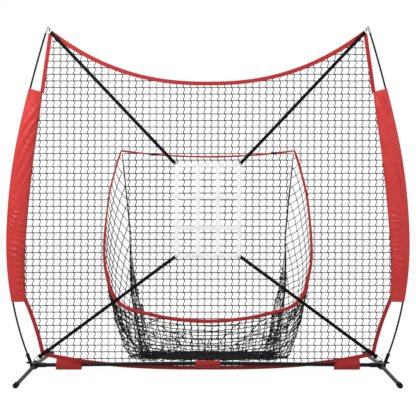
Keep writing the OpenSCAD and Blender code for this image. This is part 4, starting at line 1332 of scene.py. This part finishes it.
class NET_OT_straps(bpy.types.Operator):
    """The four black diagonal straps with their folded ends and box stitches"""
    bl_idname = "net.straps"
    bl_label = "Diagonal straps"

    def execute(self, context):
        webbing = finishes()["diagonal_webbing"]
        stitches = []
        keepers = bmesh.new()
        upper = (Vector((TARGET_X - 0.008, 0, TARGET_ROWS[-1] + WHITE_WEB / 2 - 0.008)),
                 Vector((TOP_X - 0.006, 0, TOP_Z - 0.006)))
        lower = (Vector((TARGET_X - 0.008, 0, TARGET_ROWS[0] - WHITE_WEB / 2 + 0.008)),
                 Vector((EYE_X, 0, EYE_TOP)))
        for side, name in ((-1, "left"), (1, "right")):
            for (a, b), kind in ((upper, "upper"), (lower, "lower")):
                start, end = Vector((side * a.x, 0, a.z)), Vector((side * b.x, 0, b.z))
                way = (end - start).normalized()
                edge = way.cross(Vector((0, 1, 0)))
                length = (end - start).length - (HOOK_LEN if kind == "lower" else 0)
                path = self.folded(start, way, length, kind == "lower", side)
                shape = bmesh.new()
                ribbon(shape, path, 0.020, WEB, side=edge)
                add_piece(f"strap_{kind}_{name}_webbing", shape, webbing, "black_webbing", f"strap_{kind}_{name}")
                front = Vector((0, STRAP_Y - 0.0003, 0))
                stitches += box_stitch(start + way * 0.011 + front, way, edge, 0.007)
                if kind == "lower":
                    self.keeper(keepers, start + way * length + Vector((0, HOOK_Y, 0)), way, edge)
        add_piece("hook_keeper_webbing", keepers, webbing, "black_webbing")
        sewing = bmesh.new()
        strands(sewing, stitches, 0.00035)
        thread = moulded("black_thread", (0.02, 0.02, 0.021), 0.5, gloss=0.1)
        add_piece("strap_stitches", sewing, thread, "black_webbing")
        return {"FINISHED"}

    def keeper(self, shape, ring, way, edge):
        """A short sleeve of webbing drawn over the hook's ring, so that it lies flat."""
        outline = ((-1, 0), (-0.85, -0.9), (-0.3, -1), (0.3, -1), (0.85, -0.9),
                   (1, 0), (0.85, 0.9), (0.3, 1), (-0.3, 1), (-0.85, 0.9))
        loop = closed_line([edge * (0.0128 * a) + Vector((0, 0.0036 * b, 0)) for a, b in outline], 4)

        def place(u, v):
            point = loop[round(u * 40)]
            flare = 1 + 0.05 * math.cos(math.pi * v) + 0.04 * wobble((u * 3, v, 0), 3, 91)
            return ring + way * mix(-0.005, 0.0135, v) + point * flare

        skin(shape, 40, 10, place, (0.06, 0.018), ends=False)

    def folded(self, start, way, length, hooked, side):
        """The strap's line: out to its end, round the hook's wire or a tight fold, and back as a loose tail."""
        tail = 0.070

        def at(s, y):
            return start + way * s + Vector((0, y, 0))

        line = []
        for t in steps(90):
            s = t * (length - (0.006 if hooked else 0.001))
            wave = 0.0005 * wobble((s, 0, 0), 12, 81 + side) * min(1, s * 20, (length - s) * 12)
            line.append(at(s, HOOK_Y + wave))
        radius, y, end, count = (0.003, HOOK_Y, length, 12) if hooked else (0.00075, STRAP_Y, length - 0.001, 6)
        for a in (math.pi / 2 - math.pi * i / count for i in range(1, count)):
            line.append(at(end + radius * math.cos(a), y + radius * math.sin(a)))
        for t in steps(12):
            line.append(at(length - 0.007 - t * (tail - 0.007), STRAP_Y - WEB / 2 - 0.0002))
        return line


PIECES = (NET_OT_stage, NET_OT_finishes, NET_OT_main_netting, NET_OT_pocket_netting, NET_OT_hems, NET_OT_side_sleeves,
          NET_OT_bar_sleeves, NET_OT_mouth_trim, NET_OT_corners, NET_OT_target, NET_OT_straps)
GROUPS = {"netting_sizes": NettingSizes, "net_colours": Colours, "stage_settings": StageSettings}


class NET_PT_panel(bpy.types.Panel):
    """Lists the net's sizes, colours and pieces"""
    bl_idname = "NET_PT_panel"
    bl_label = "Pitching target net"
    bl_space_type = "VIEW_3D"
    bl_region_type = "UI"
    bl_category = "Target net"

    def draw(self, context):
        for group in (getattr(context.scene, name) for name in GROUPS):
            box = self.layout.box()
            for name in group.__annotations__:
                box.prop(group, name)
        for piece in PIECES:
            self.layout.operator(piece.bl_idname)


def register():
    for kind in (*GROUPS.values(), *PIECES, NET_PT_panel):
        bpy.utils.register_class(kind)
    for name, group in GROUPS.items():
        setattr(bpy.types.Scene, name, bpy.props.PointerProperty(type=group))


def unregister():
    for name in GROUPS:
        delattr(bpy.types.Scene, name)
    for kind in (NET_PT_panel, *reversed(PIECES), *reversed(GROUPS.values())):
        bpy.utils.unregister_class(kind)


def main():
    register()
    for piece in PIECES:
        group, name = piece.bl_idname.split(".")
        getattr(getattr(bpy.ops, group), name)()
    boxes = {"cad": CAD_BOX, "visual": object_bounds()}
    {key: [list(corner) for corner in box] for key, box in boxes.items()}


if __name__ == "__main__":
    main()
